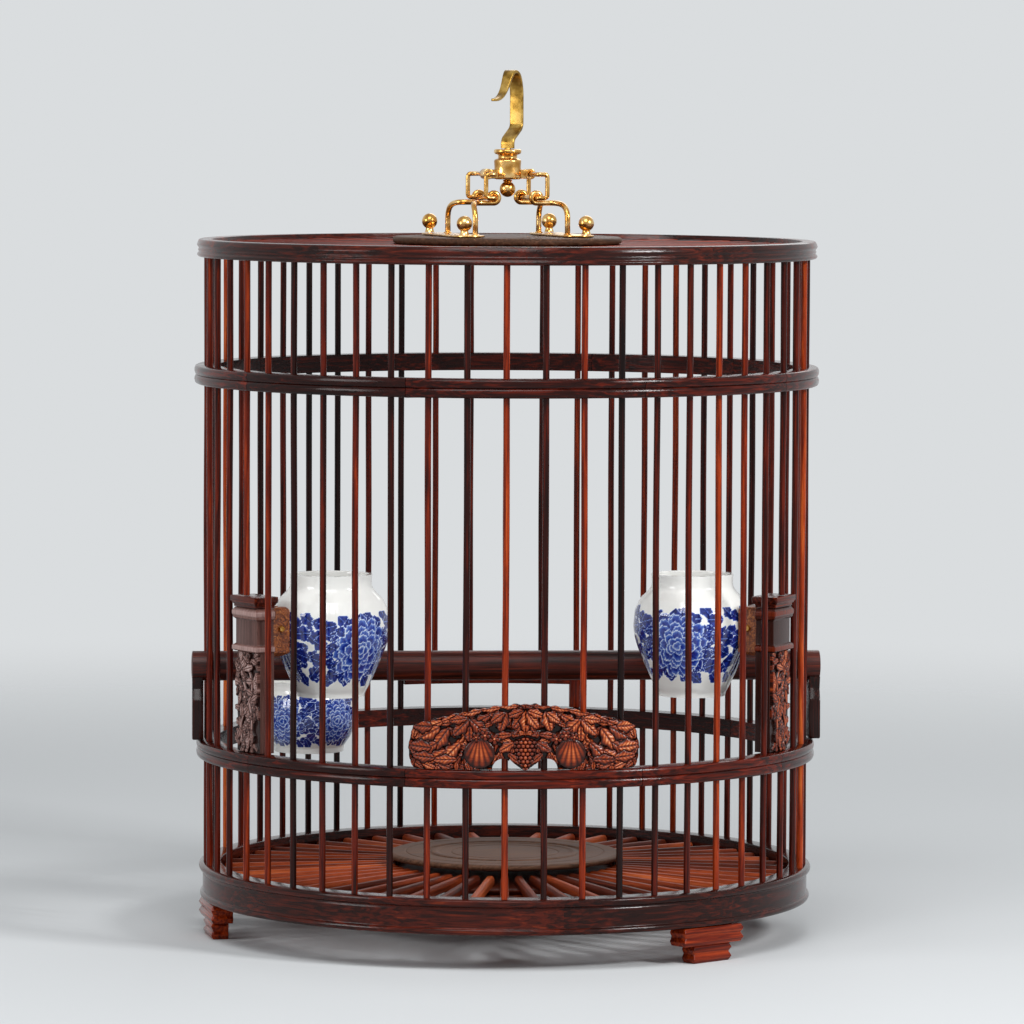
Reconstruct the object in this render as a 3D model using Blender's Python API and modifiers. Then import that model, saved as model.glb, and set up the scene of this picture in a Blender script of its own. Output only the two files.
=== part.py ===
"""Round rosewood birdcage with porcelain cups, a carved plaque and a brass hanging claw.

Metres, +Z up. The cage stands on the XY plane and its front faces -Y. Angles round the
cage are counted from the front, positive towards +X, so a piece modelled at the front
reaches its place with one turn about Z.
"""
from math import atan2, ceil, cos, pi, radians, sin, sqrt

import bmesh
import bpy
import numpy as np
from mathutils import Matrix, Vector

# Driving dimensions of the whole cage
BAR_COUNT = 50
BAR_CIRCLE_RADIUS = 0.170
BAR_RADIUS = 0.0018
BAR_SIDES = 6
FOOT_HEIGHT = 0.0202
BASE_RING_HEIGHT = 0.0198
LOWER_HOOP_BOTTOM = 0.1006
LOWER_HOOP_HEIGHT = 0.0101
UPPER_HOOP_BOTTOM = 0.3124
UPPER_HOOP_HEIGHT = 0.0103
TOP_RING_BOTTOM = 0.384
TOP_RING_HEIGHT = 0.010
POST_BAR = 8
DOOR_BAR = 22
PERCH_GAP = 12
DISC_STEPS = 30

# Clearances: GAP lies between pieces that touch, RUNNING_GAP round a bar that a door
# turns on, BURY is how far fused shapes run into each other, OVERRUN how far a cutter
# runs past what it cuts, WELD the distance at which loose points are one point.
GAP = 0.0003
RUNNING_GAP = 0.0004
BURY = 0.0008
OVERRUN = 0.002
WELD = 0.000001

# Levels and angles that follow from them
PITCH = 2 * pi / BAR_COUNT
BASE_RING_TOP = FOOT_HEIGHT + BASE_RING_HEIGHT
LOWER_HOOP_TOP = LOWER_HOOP_BOTTOM + LOWER_HOOP_HEIGHT
UPPER_HOOP_TOP = UPPER_HOOP_BOTTOM + UPPER_HOOP_HEIGHT
TOP_RING_TOP = TOP_RING_BOTTOM + TOP_RING_HEIGHT


def bar_angle(number):
    """Angle of a bar: 0 is the first one right of the front, -1 the first one left."""
    return (number + 0.5) * PITCH


for leftover in list(bpy.data.objects):
    bpy.data.objects.remove(leftover, do_unlink=True)

CAGE = bpy.data.collections.new("birdcage")
HELPERS = bpy.data.collections.new("cutters")
bpy.context.scene.collection.children.link(CAGE)
bpy.context.scene.collection.children.link(HELPERS)


def finish(name, colour, roughness, metallic=0.0):
    """A plain material with the piece's colour, roughness and metallic value."""
    made = bpy.data.materials.new(name)
    made.use_nodes = True
    shader = made.node_tree.nodes["Principled BSDF"]
    shader.inputs["Base Color"].default_value = (*colour, 1.0)
    shader.inputs["Roughness"].default_value = roughness
    shader.inputs["Metallic"].default_value = metallic
    return made


DARK_WOOD = finish("dark_rosewood", (0.045, 0.012, 0.008), 0.32)
RED_WOOD = finish("red_rosewood", (0.16, 0.03, 0.013), 0.32)
FLOOR_WOOD = finish("floor_rosewood", (0.40, 0.12, 0.055), 0.45)
CARVED_WOOD = finish("carved_wood", (0.22, 0.06, 0.025), 0.45)
BRASS = finish("brass", (0.72, 0.45, 0.16), 0.22, 1.0)
PORCELAIN = finish("porcelain", (0.80, 0.82, 0.80), 0.12)


# Ways of making shapes
def add_part(name, mesh, look, turn=0.0):
    """Links a mesh as a named piece, turned round the cage to its place."""
    piece = bpy.data.objects.new(name, mesh)
    piece.data.materials.clear()
    piece.data.materials.append(look)
    piece.rotation_euler.z = turn
    CAGE.objects.link(piece)
    return piece


def add_helper(name, mesh, turn=0.0):
    """Links a mesh that only cuts or joins, and is no piece of the cage."""
    tool = bpy.data.objects.new(name, mesh)
    tool.rotation_euler.z = turn
    tool.hide_render = True
    tool.display_type = 'WIRE'
    HELPERS.objects.link(tool)
    return tool


def combine(piece, tool, operation):
    """Joins or cuts a piece with a helper, exactly."""
    step = piece.modifiers.new(tool.name, 'BOOLEAN')
    step.object = tool
    step.operation = operation
    step.solver = 'EXACT'


def fuse(piece, tool):
    combine(piece, tool, 'UNION')


def cut(piece, tool):
    combine(piece, tool, 'DIFFERENCE')


def mesh_from(name, build):
    """A mesh filled in by one function, with its faces turned outwards."""
    shape = bmesh.new()
    build(shape)
    bmesh.ops.recalc_face_normals(shape, faces=shape.faces)
    mesh = bpy.data.meshes.new(name)
    shape.to_mesh(mesh)
    shape.free()
    return mesh


def turned(name, profile, steps, ring=False):
    """Points (radius, height), outer side running down, turned about Z.

    A ring's profile is a closed loop, any other starts and ends on the axis.
    """
    corners = [(radius, 0.0, height) for radius, height in profile]
    edges = [(index, index + 1) for index in range(len(corners) - 1)]
    if ring:
        edges.append((len(corners) - 1, 0))
    outline = bpy.data.meshes.new(name)
    outline.from_pydata(corners, edges, [])
    model = bpy.data.objects.new(name, outline)
    HELPERS.objects.link(model)
    screw = model.modifiers.new("turn", 'SCREW')
    screw.axis = 'Z'
    screw.angle = 2 * pi
    screw.steps = steps
    screw.render_steps = steps
    screw.use_merge_vertices = True
    screw.merge_threshold = WELD
    return applied(model)


def applied(model):
    """The evaluated mesh of a model, welded, with the model removed."""
    bpy.context.view_layer.update()
    depsgraph = bpy.context.evaluated_depsgraph_get()
    mesh = bpy.data.meshes.new_from_object(model.evaluated_get(depsgraph))
    mesh.transform(model.matrix_world)
    shape = bmesh.new()
    shape.from_mesh(mesh)
    bmesh.ops.remove_doubles(shape, verts=shape.verts, dist=WELD)
    shape.to_mesh(mesh)
    shape.free()
    bpy.data.objects.remove(model, do_unlink=True)
    return mesh


def wire(name, points, radius, closed=False, resolution=2):
    """A round wire through the points, with capped ends unless it closes."""
    path = bpy.data.curves.new(name, 'CURVE')
    path.dimensions = '3D'
    path.bevel_depth = radius
    path.bevel_resolution = resolution
    path.use_fill_caps = not closed
    run = path.splines.new('POLY')
    run.points.add(len(points) - 1)
    for knot, place in zip(run.points, points):
        knot.co = (*place, 1.0)
    run.use_cyclic_u = closed
    model = bpy.data.objects.new(name, path)
    HELPERS.objects.link(model)
    return applied(model)


def flat(name, outline, thickness, stand):
    """A flat outline with a thickness, laid in space by the matrix stand."""
    shape = bpy.data.curves.new(name, 'CURVE')
    shape.dimensions = '2D'
    shape.fill_mode = 'BOTH'
    shape.extrude = thickness / 2
    edge = shape.splines.new('POLY')
    edge.points.add(len(outline) - 1)
    for knot, (x, y) in zip(edge.points, outline):
        knot.co = (x, y, 0.0, 1.0)
    edge.use_cyclic_u = True
    model = bpy.data.objects.new(name, shape)
    HELPERS.objects.link(model)
    model.matrix_world = stand
    return applied(model)


def box(shape, low, high):
    """Adds a box between two corners."""
    size = [b - a for a, b in zip(low, high)]
    middle = [(a + b) / 2 for a, b in zip(low, high)]
    place = Matrix.Translation(middle) @ Matrix.Diagonal((*size, 1.0))
    bmesh.ops.create_cube(shape, size=1.0, matrix=place)


def rod(shape, start, end, radius, sides, spin=0.0):
    """Adds a round rod between two points, with flat ends."""
    way = Vector(end) - Vector(start)
    middle = (Vector(start) + Vector(end)) / 2
    lay = way.to_track_quat('Z', 'Y').to_matrix().to_4x4()
    place = Matrix.Translation(middle) @ lay @ Matrix.Rotation(spin, 4, 'Z')
    bmesh.ops.create_cone(shape, cap_ends=True, segments=sides, radius1=radius,
                          radius2=radius, depth=way.length, matrix=place)


def loft(shape, sections):
    """Adds a solid through closed sections that have the same number of points."""
    loops = [[shape.verts.new(point) for point in section] for section in sections]
    shape.faces.new(loops[0])
    shape.faces.new(reversed(loops[-1]))
    for near, far in zip(loops, loops[1:]):
        for index in range(len(near)):
            after = (index + 1) % len(near)
            shape.faces.new((near[index], far[index], far[after], near[after]))


def moulded_block(shape, levels):
    """Adds a block at the front whose rectangular sections follow moulded levels.

    Each level is (height, half width, inner radius, outer radius).
    """
    loft(shape, [[(-half, -outer, height), (half, -outer, height),
                  (half, -inner, height), (-half, -inner, height)]
                 for height, half, inner, outer in levels])


def arc(centre, radius, start, end, steps):
    """Points of a circular arc, both ends included."""
    return [(centre[0] + radius * cos(turn), centre[1] + radius * sin(turn))
            for turn in np.linspace(start, end, steps + 1)]


def hole_radius(radius, sides, clearance):
    """Corner radius of a hole that keeps a clearance all round a rod of equal sides."""
    return radius + clearance / cos(pi / sides)


# Rings: the base ring and the top ring are turned, and every bar has a blind socket in
# both. One facet stands behind each bar.
SOCKET_DEPTH = 0.006
TOP_SOCKET_DEPTH = 0.0034
BASE_RING_PROUD = 0.0045
BASE_WALL_INSET = 0.008
BASE_LEDGE_INSET = 0.016
BASE_LEDGE_RISE = 0.0105
BASE_BAND_INSET = 0.0022
BASE_BEAD_PROUD = 0.0036
TOP_RING_PROUD = 0.006
TOP_RING_INSET = 0.0065
TOP_LEDGE_WIDTH = 0.0040
TOP_LEDGE_DEPTH = 0.0054
REED_DEPTH = 0.0016
HOOP_INSET = 0.0065
LOWER_HOOP_PROUD = 0.006
UPPER_HOOP_PROUD = 0.00725

BASE_WALL_RADIUS = BAR_CIRCLE_RADIUS - BASE_WALL_INSET
LEDGE_RADIUS = BAR_CIRCLE_RADIUS - BASE_LEDGE_INSET
LEDGE_TOP = FOOT_HEIGHT + BASE_LEDGE_RISE
TOP_LEDGE_RADIUS = BAR_CIRCLE_RADIUS - TOP_RING_INSET + TOP_LEDGE_WIDTH
TOP_LEDGE_LEVEL = TOP_RING_TOP - TOP_LEDGE_DEPTH
BAR_BOTTOM = BASE_RING_TOP - SOCKET_DEPTH + GAP
BAR_TOP = TOP_RING_BOTTOM + TOP_SOCKET_DEPTH - GAP
HALF_FACET = PITCH / 2

BASE_LEVEL_SHARES = (0.0, 0.08, 0.16, 0.71, 0.87)
TOP_REED_SHARES = (0.18, 0.75)


def sockets(name, low, high):
    """All the bars' sockets in one ring, as one cutter."""
    def build(shape):
        radius = hole_radius(BAR_RADIUS, BAR_SIDES, GAP)
        for number in range(BAR_COUNT):
            turn = bar_angle(number)
            x = BAR_CIRCLE_RADIUS * sin(turn)
            y = -BAR_CIRCLE_RADIUS * cos(turn)
            rod(shape, (x, y, low), (x, y, high), radius, BAR_SIDES, turn)
    return add_helper(name, mesh_from(name, build))


def base_ring():
    outer = BAR_CIRCLE_RADIUS + BASE_RING_PROUD
    band = outer - BASE_BAND_INSET
    bead = BAR_CIRCLE_RADIUS + BASE_BEAD_PROUD
    level = [FOOT_HEIGHT + share * BASE_RING_HEIGHT for share in BASE_LEVEL_SHARES]
    profile = [(BASE_WALL_RADIUS, BASE_RING_TOP), ((outer + band) / 2, BASE_RING_TOP),
               (outer, level[4]), (band, level[3]), (band, level[2]), (bead, level[1]),
               (band, level[0]), (LEDGE_RADIUS, level[0]), (LEDGE_RADIUS, LEDGE_TOP),
               (BASE_WALL_RADIUS, LEDGE_TOP)]
    ring = add_part("base_ring", turned("base_ring", profile, BAR_COUNT, ring=True),
                    DARK_WOOD, HALF_FACET)
    cut(ring, sockets("base_sockets", BASE_RING_TOP - SOCKET_DEPTH,
                      BASE_RING_TOP + OVERRUN))
    cut(ring, add_helper("board_seats", mesh_from("board_seats", board_seats),
                         BOARD_TURN))


def top_ring():
    outer = BAR_CIRCLE_RADIUS + TOP_RING_PROUD
    edge = outer - REED_DEPTH
    inner = BAR_CIRCLE_RADIUS - TOP_RING_INSET
    level = [TOP_RING_BOTTOM + share * TOP_RING_HEIGHT for share in TOP_REED_SHARES]
    profile = [(TOP_LEDGE_RADIUS, TOP_RING_TOP), (edge, TOP_RING_TOP),
               (outer, level[1]), (outer, level[0]), (edge, TOP_RING_BOTTOM),
               (inner, TOP_RING_BOTTOM), (inner, TOP_LEDGE_LEVEL),
               (TOP_LEDGE_RADIUS, TOP_LEDGE_LEVEL)]
    ring = add_part("top_ring", turned("top_ring", profile, BAR_COUNT, ring=True),
                    DARK_WOOD, HALF_FACET)
    cut(ring, sockets("top_sockets", TOP_RING_BOTTOM - OVERRUN,
                      TOP_RING_BOTTOM + TOP_SOCKET_DEPTH))


# Feet: three moulded blocks, each with four rounded ridges, the upper two wider
FOOT_ANGLES = {"foot_right": 38.4, "foot_left": -81.6, "foot_rear": 158.4}
FOOT_TOP_WIDTH = 0.045
FOOT_LOWER_WIDTH = 0.029
FOOT_INNER_INSET = 0.0095
FOOT_PROUD = 0.0032
FOOT_RIDGE = 0.0013


def foot(name, degrees):
    inner = BAR_CIRCLE_RADIUS - FOOT_INNER_INSET
    outer = BAR_CIRCLE_RADIUS + FOOT_PROUD
    ridge = (FOOT_HEIGHT - GAP) / 4
    levels = []
    for index in range(4):
        half = (FOOT_LOWER_WIDTH if index < 2 else FOOT_TOP_WIDTH) / 2
        step = FOOT_RIDGE if index < 2 else 0.0
        slim = (half - FOOT_RIDGE, inner + step, outer - step - FOOT_RIDGE)
        full = (half, inner + step, outer - step)
        if index in (0, 2):
            levels.append((index * ridge, *slim))
        levels.append(((index + 0.5) * ridge, *full))
        levels.append(((index + 1) * ridge, *slim))
    add_part(name, mesh_from(name, lambda shape: moulded_block(shape, levels)),
             RED_WOOD, radians(degrees))


# Floor: two crossed boards let into the base ring's ledge, a lattice of radial rods
# that rises towards its hub, a thicker disc under the hub, and a turned platform
BOARD_TURN = -HALF_FACET
BOARD_WIDTH = 0.024
BOARD_THICKNESS = 0.0048
BOARD_END_INSET = 0.0115
ROD_WIDTH = 0.005
ROD_HEIGHT = 0.005
ROD_RISE = 0.003
ROD_HUB_RADIUS = 0.067
HUB_DISC_RADIUS = 0.060
HUB_DISC_SIDES = 25
PLATFORM_RADIUS = 0.0665
PLATFORM_THICKNESS = 0.0037
PLATFORM_LEVEL = 0.0452
PLATFORM_NECK_RADIUS = 0.024
PLATFORM_GROOVE_RADIUS = 0.045
PLATFORM_GROOVE_WIDTH = 0.003
PLATFORM_GROOVE_DEPTH = 0.001

BOARD_TOP = LEDGE_TOP
BOARD_BOTTOM = BOARD_TOP - BOARD_THICKNESS
BOARD_REACH = BAR_CIRCLE_RADIUS - BOARD_END_INSET
FLOOR_LEVEL = LEDGE_TOP + GAP
HUB_TOP = FLOOR_LEVEL + ROD_RISE + ROD_HEIGHT
HALF_LAP = (BOARD_TOP + BOARD_BOTTOM) / 2


def board_seats(shape):
    """Seats in the ledge for the four ends of the crossed boards."""
    half = BOARD_WIDTH / 2 + GAP
    reach = BOARD_REACH + GAP
    low = BOARD_BOTTOM - GAP
    high = BOARD_TOP + OVERRUN
    for side in (-1, 1):
        near, far = sorted((side * ROD_HUB_RADIUS, side * reach))
        box(shape, (-half, near, low), (half, far, high))
        box(shape, (near, -half, low), (far, half, high))


def floor_board(name, turn, lap_low, lap_high):
    """A straight board with half its thickness cut away where it crosses the other."""
    half = BOARD_WIDTH / 2
    lap = half + GAP

    def board(shape):
        box(shape, (-half, -BOARD_REACH, BOARD_BOTTOM), (half, BOARD_REACH, BOARD_TOP))

    def notch(shape):
        box(shape, (-half - OVERRUN, -lap, lap_low), (half + OVERRUN, lap, lap_high))
    piece = add_part(name, mesh_from(name, board), FLOOR_WOOD, turn)
    cut(piece, add_helper(name + "_lap", mesh_from(name + "_lap", notch), turn))


def spoked_outline(hub, outer, width):
    """Outline of a disc with one straight spoke behind every bar."""
    half = width / 2
    corners = [(-half, -hub), (-half, -outer), (half, -outer), (half, -hub)]
    outline = []
    for number in range(BAR_COUNT):
        lay = Matrix.Rotation(bar_angle(number), 2)
        outline += [lay @ Vector(corner) for corner in corners]
    return outline


def floor_rods():
    """Radial rods on one hub, whose disc below stands on the crossed boards."""
    outer = BASE_WALL_RADIUS * cos(HALF_FACET) - GAP
    stand = Matrix.Translation((0.0, 0.0, FLOOR_LEVEL + ROD_HEIGHT / 2))
    spokes = spoked_outline(ROD_HUB_RADIUS, outer, ROD_WIDTH)
    mesh = flat("floor_rods", spokes, ROD_HEIGHT, stand)
    for corner in mesh.vertices:
        out = min(max(corner.co.xy.length, ROD_HUB_RADIUS), outer)
        corner.co.z += ROD_RISE * (outer - out) / (outer - ROD_HUB_RADIUS)
    rods = add_part("floor_rods", mesh, FLOOR_WOOD)
    top = FLOOR_LEVEL + ROD_RISE + BURY
    disc = [(0.0, top), (HUB_DISC_RADIUS, top), (HUB_DISC_RADIUS, FLOOR_LEVEL),
            (0.0, FLOOR_LEVEL)]
    fuse(rods, add_helper("hub_disc", turned("hub_disc", disc, HUB_DISC_SIDES)))


def floor_platform():
    low = PLATFORM_LEVEL - PLATFORM_THICKNESS
    edge = PLATFORM_THICKNESS / 3
    groove_low = PLATFORM_LEVEL - PLATFORM_GROOVE_DEPTH
    profile = [(0.0, PLATFORM_LEVEL),
               (PLATFORM_GROOVE_RADIUS - PLATFORM_GROOVE_WIDTH, PLATFORM_LEVEL),
               (PLATFORM_GROOVE_RADIUS - PLATFORM_GROOVE_WIDTH / 2, groove_low),
               (PLATFORM_GROOVE_RADIUS, PLATFORM_LEVEL),
               (PLATFORM_RADIUS - edge, PLATFORM_LEVEL),
               (PLATFORM_RADIUS, PLATFORM_LEVEL - edge),
               (PLATFORM_RADIUS, low + edge), (PLATFORM_RADIUS - edge, low),
               (PLATFORM_NECK_RADIUS, low), (PLATFORM_NECK_RADIUS, HUB_TOP + GAP),
               (0.0, HUB_TOP + GAP)]
    add_part("floor_platform", turned("floor_platform", profile, DISC_STEPS), DARK_WOOD)


# Bar bays: each bay is a run of bars with its own sawn segments of both hoops. The
# segments meet between bars, as the real hoops' joints do.
BAYS = {"bars_front": (-3, 6), "bars_right_front": (3, 5), "bars_right_side": (8, 4),
        "bars_right_back": (12, 5), "bars_right_rear": (17, 5), "bars_door": (22, 6),
        "bars_left_rear": (28, 5), "bars_left_back": (33, 5), "bars_left_side": (38, 4),
        "bars_left_front": (42, 5)}
HOOP_EDGE = 0.0013
HOOP_EDGE_SHARE = 0.24


def hoop_section(bottom, height, proud):
    """Hoop section with an eased outer side, as points at the front."""
    outer = BAR_CIRCLE_RADIUS + proud
    edge = outer - HOOP_EDGE
    inner = BAR_CIRCLE_RADIUS - HOOP_INSET
    top = bottom + height
    ease = HOOP_EDGE_SHARE * height
    points = [(inner, bottom), (edge, bottom), (outer, bottom + ease),
              (outer, top - ease), (edge, top), (inner, top)]
    return [Vector((0.0, -radius, height_now)) for radius, height_now in points]


def hoop_segment(shape, section, start, count):
    """Adds the stretch of a hoop that carries count bars, a gap short at both ends."""
    joint = GAP / 2 / BAR_CIRCLE_RADIUS
    turns = [(start + index) * PITCH for index in range(count + 1)]
    turns[0] += joint
    turns[-1] -= joint
    loft(shape, [[Matrix.Rotation(turn, 3, 'Z') @ point for point in section]
                 for turn in turns])


def bar_stretches(number):
    """The upright stretches of one bar: whole, or cut by a post or by the doorway."""
    door_bars = range(DOOR_BAR + 1, DOOR_BAR + 5)
    if number in door_bars:
        return ((BAR_BOTTOM, LOWER_HOOP_TOP - BURY), (UPPER_HOOP_BOTTOM + BURY, BAR_TOP))
    if number in (POST_BAR, BAR_COUNT - 1 - POST_BAR):
        return ((BAR_BOTTOM, LOWER_HOOP_TOP - BURY), (POST_CAP_TOP + GAP, BAR_TOP))
    return ((BAR_BOTTOM, BAR_TOP),)


def bar_bay(name, start, count):
    def bars(shape):
        for number in range(start, start + count):
            turn = bar_angle(number)
            x = BAR_CIRCLE_RADIUS * sin(turn)
            y = -BAR_CIRCLE_RADIUS * cos(turn)
            for low, high in bar_stretches(number % BAR_COUNT):
                rod(shape, (x, y, low), (x, y, high), BAR_RADIUS, BAR_SIDES, turn)

    def hoops(shape):
        for section in (hoop_section(LOWER_HOOP_BOTTOM, LOWER_HOOP_HEIGHT,
                                     LOWER_HOOP_PROUD),
                        hoop_section(UPPER_HOOP_BOTTOM, UPPER_HOOP_HEIGHT,
                                     UPPER_HOOP_PROUD)):
            hoop_segment(shape, section, start, count)
    bay = add_part(name, mesh_from(name, bars), RED_WOOD)
    fuse(bay, add_helper(name + "_hoops", mesh_from(name + "_hoops", hoops)))


# Top: radial slats on a hub disc, lying on the top ring's ledge, with a turned disc
SLAT_WIDTH = 0.006
SLAT_THICKNESS = 0.0026
SLAT_HUB_RADIUS = 0.060
TOP_DISC_RADIUS = 0.065
TOP_DISC_THICKNESS = 0.0040
TOP_DISC_EDGE = 0.0009

SLAT_BOTTOM = TOP_LEDGE_LEVEL + GAP
SLAT_TOP = SLAT_BOTTOM + SLAT_THICKNESS
TOP_DISC_BOTTOM = SLAT_TOP + GAP
TOP_DISC_TOP = TOP_DISC_BOTTOM + TOP_DISC_THICKNESS


def top_slats():
    outer = TOP_LEDGE_RADIUS * cos(HALF_FACET) - GAP
    spokes = spoked_outline(SLAT_HUB_RADIUS, outer, SLAT_WIDTH)
    stand = Matrix.Translation((0.0, 0.0, (SLAT_BOTTOM + SLAT_TOP) / 2))
    add_part("top_slats", flat("top_slats", spokes, SLAT_THICKNESS, stand), RED_WOOD)


def top_disc():
    profile = [(0.0, TOP_DISC_TOP), (TOP_DISC_RADIUS - TOP_DISC_EDGE, TOP_DISC_TOP),
               (TOP_DISC_RADIUS, TOP_DISC_TOP - TOP_DISC_EDGE),
               (TOP_DISC_RADIUS, TOP_DISC_BOTTOM + TOP_DISC_EDGE),
               (TOP_DISC_RADIUS - TOP_DISC_EDGE, TOP_DISC_BOTTOM), (0.0, TOP_DISC_BOTTOM)]
    add_part("top_disc", turned("top_disc", profile, DISC_STEPS), DARK_WOOD)


# Posts: a panelled block in place of one bar on each side, under a moulded cap that
# the rest of the bar stands on
POST_WIDTH = 0.0250
POST_INSET = 0.0105
POST_PROUD = 0.0010
POST_PANEL_HEIGHT = 0.0560
POST_BLOCK_HEIGHT = 0.0245
POST_BLOCK_PROUD = 0.0010
POST_RECESS = 0.0012
POST_FRAME = 0.0030
CAP_HEIGHT = 0.0062
CAP_EAVES = 0.0015
CAP_INSET = 0.0125
CAP_PROUD = 0.0030

POST_BOTTOM = LOWER_HOOP_TOP + GAP
POST_INNER = BAR_CIRCLE_RADIUS - POST_INSET
POST_OUTER = BAR_CIRCLE_RADIUS + POST_PROUD
PANEL_TOP = POST_BOTTOM + POST_PANEL_HEIGHT
POST_TOP = PANEL_TOP + POST_BLOCK_HEIGHT
POST_CAP_TOP = POST_TOP + GAP + CAP_HEIGHT
CAP_LEVEL_SHARES = ((0.0, 0.0), (0.30, 0.0), (0.38, 0.45), (0.62, 0.55), (0.70, 1.0),
                    (1.0, 1.0))


def post(side, turn):
    half = POST_WIDTH / 2
    outer = POST_OUTER + POST_BLOCK_PROUD
    levels = [(POST_BOTTOM, half, POST_INNER, POST_OUTER),
              (PANEL_TOP, half, POST_INNER, POST_OUTER),
              (PANEL_TOP + POST_BLOCK_PROUD, half + POST_BLOCK_PROUD, POST_INNER, outer),
              (POST_TOP, half + POST_BLOCK_PROUD, POST_INNER, outer)]

    def recesses(shape):
        """A sunk field on the panel and another on the block above it."""
        for low, high, face in ((POST_BOTTOM, PANEL_TOP, POST_OUTER),
                                (PANEL_TOP, POST_TOP, outer)):
            box(shape, (-half + POST_FRAME, -face - OVERRUN, low + POST_FRAME),
                (half - POST_FRAME, -face + POST_RECESS, high - POST_FRAME))
    name = "post_" + side
    block = add_part(name, mesh_from(name, lambda shape: moulded_block(shape, levels)),
                     CARVED_WOOD, turn)
    cut(block, add_helper(name + "_recess", mesh_from(name + "_recess", recesses), turn))


def post_cap(side, turn):
    half = POST_WIDTH / 2 + POST_BLOCK_PROUD - CAP_EAVES
    inner = BAR_CIRCLE_RADIUS - CAP_INSET + CAP_EAVES
    outer = BAR_CIRCLE_RADIUS + CAP_PROUD - CAP_EAVES
    levels = [(POST_TOP + GAP + up * CAP_HEIGHT, half + out * CAP_EAVES,
               inner - out * CAP_EAVES, outer + out * CAP_EAVES)
              for up, out in CAP_LEVEL_SHARES]
    name = "post_cap_" + side
    add_part(name, mesh_from(name, lambda shape: moulded_block(shape, levels)),
             DARK_WOOD, turn)


# Cups: turned porcelain with a pierced ear behind, which hooks over a brass pin in a
# carved wooden clip. Heights in the shares run from the foot to the rim.
CLIP_DEPTH = 0.0102
CLIP_WIDTH = 0.018
CLIP_TOP_SLOT = 0.0105
PIN_RADIUS = 0.0015
PIN_HEAD_RADIUS = 0.0022
PIN_HEAD_LENGTH = 0.0012
PIN_DEPTH = 0.0060
EAR_WIDTH = 0.004
EAR_LIP = 0.0019
EAR_DROP = 0.0027
EAR_CROWN = 0.0024
EAR_ROOT = 0.008
CUP_WALL = 0.0026
TALL_CUP_HEIGHT = 0.0685
TALL_CUP_RADIUS = 0.033
TALL_CUP_PIN_SHARE = 0.581
TALL_CUP_SHARES = ((0.0, 0.57), (0.08, 0.64), (0.22, 0.78), (0.40, 0.93), (0.57, 1.0),
                   (0.70, 0.97), (0.80, 0.87), (0.885, 0.695), (1.0, 0.695))
LOW_CUP_HEIGHT = 0.041
LOW_CUP_RADIUS = 0.0273
LOW_CUP_PIN_SHARE = 0.66
LOW_CUP_SHARES = ((0.0, 0.73), (0.20, 0.88), (0.46, 1.0), (0.70, 0.99), (0.88, 0.89),
                  (1.0, 0.90))
CUP_STEPS = 20
TALL_CLIP_DROP = 0.0152
LOW_CLIP_DROP = 0.0115
CLIP_RISE = 0.0118


def cup_mesh(name, height, radius, shares, foot_level):
    """A turned cup with one wall thickness, open at the top."""
    outside = [(out * radius, foot_level + up * height) for up, out in shares]
    inside = [(r - CUP_WALL, z) for r, z in outside[2:-1]]
    floor_level = foot_level + 2 * CUP_WALL
    profile = [(0.0, floor_level), (inside[0][0] - CUP_WALL, floor_level)] + inside
    profile += [(outside[-1][0] - CUP_WALL, outside[-1][1])] + outside[::-1]
    profile.append((0.0, foot_level))
    return turned(name, profile, CUP_STEPS)


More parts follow.
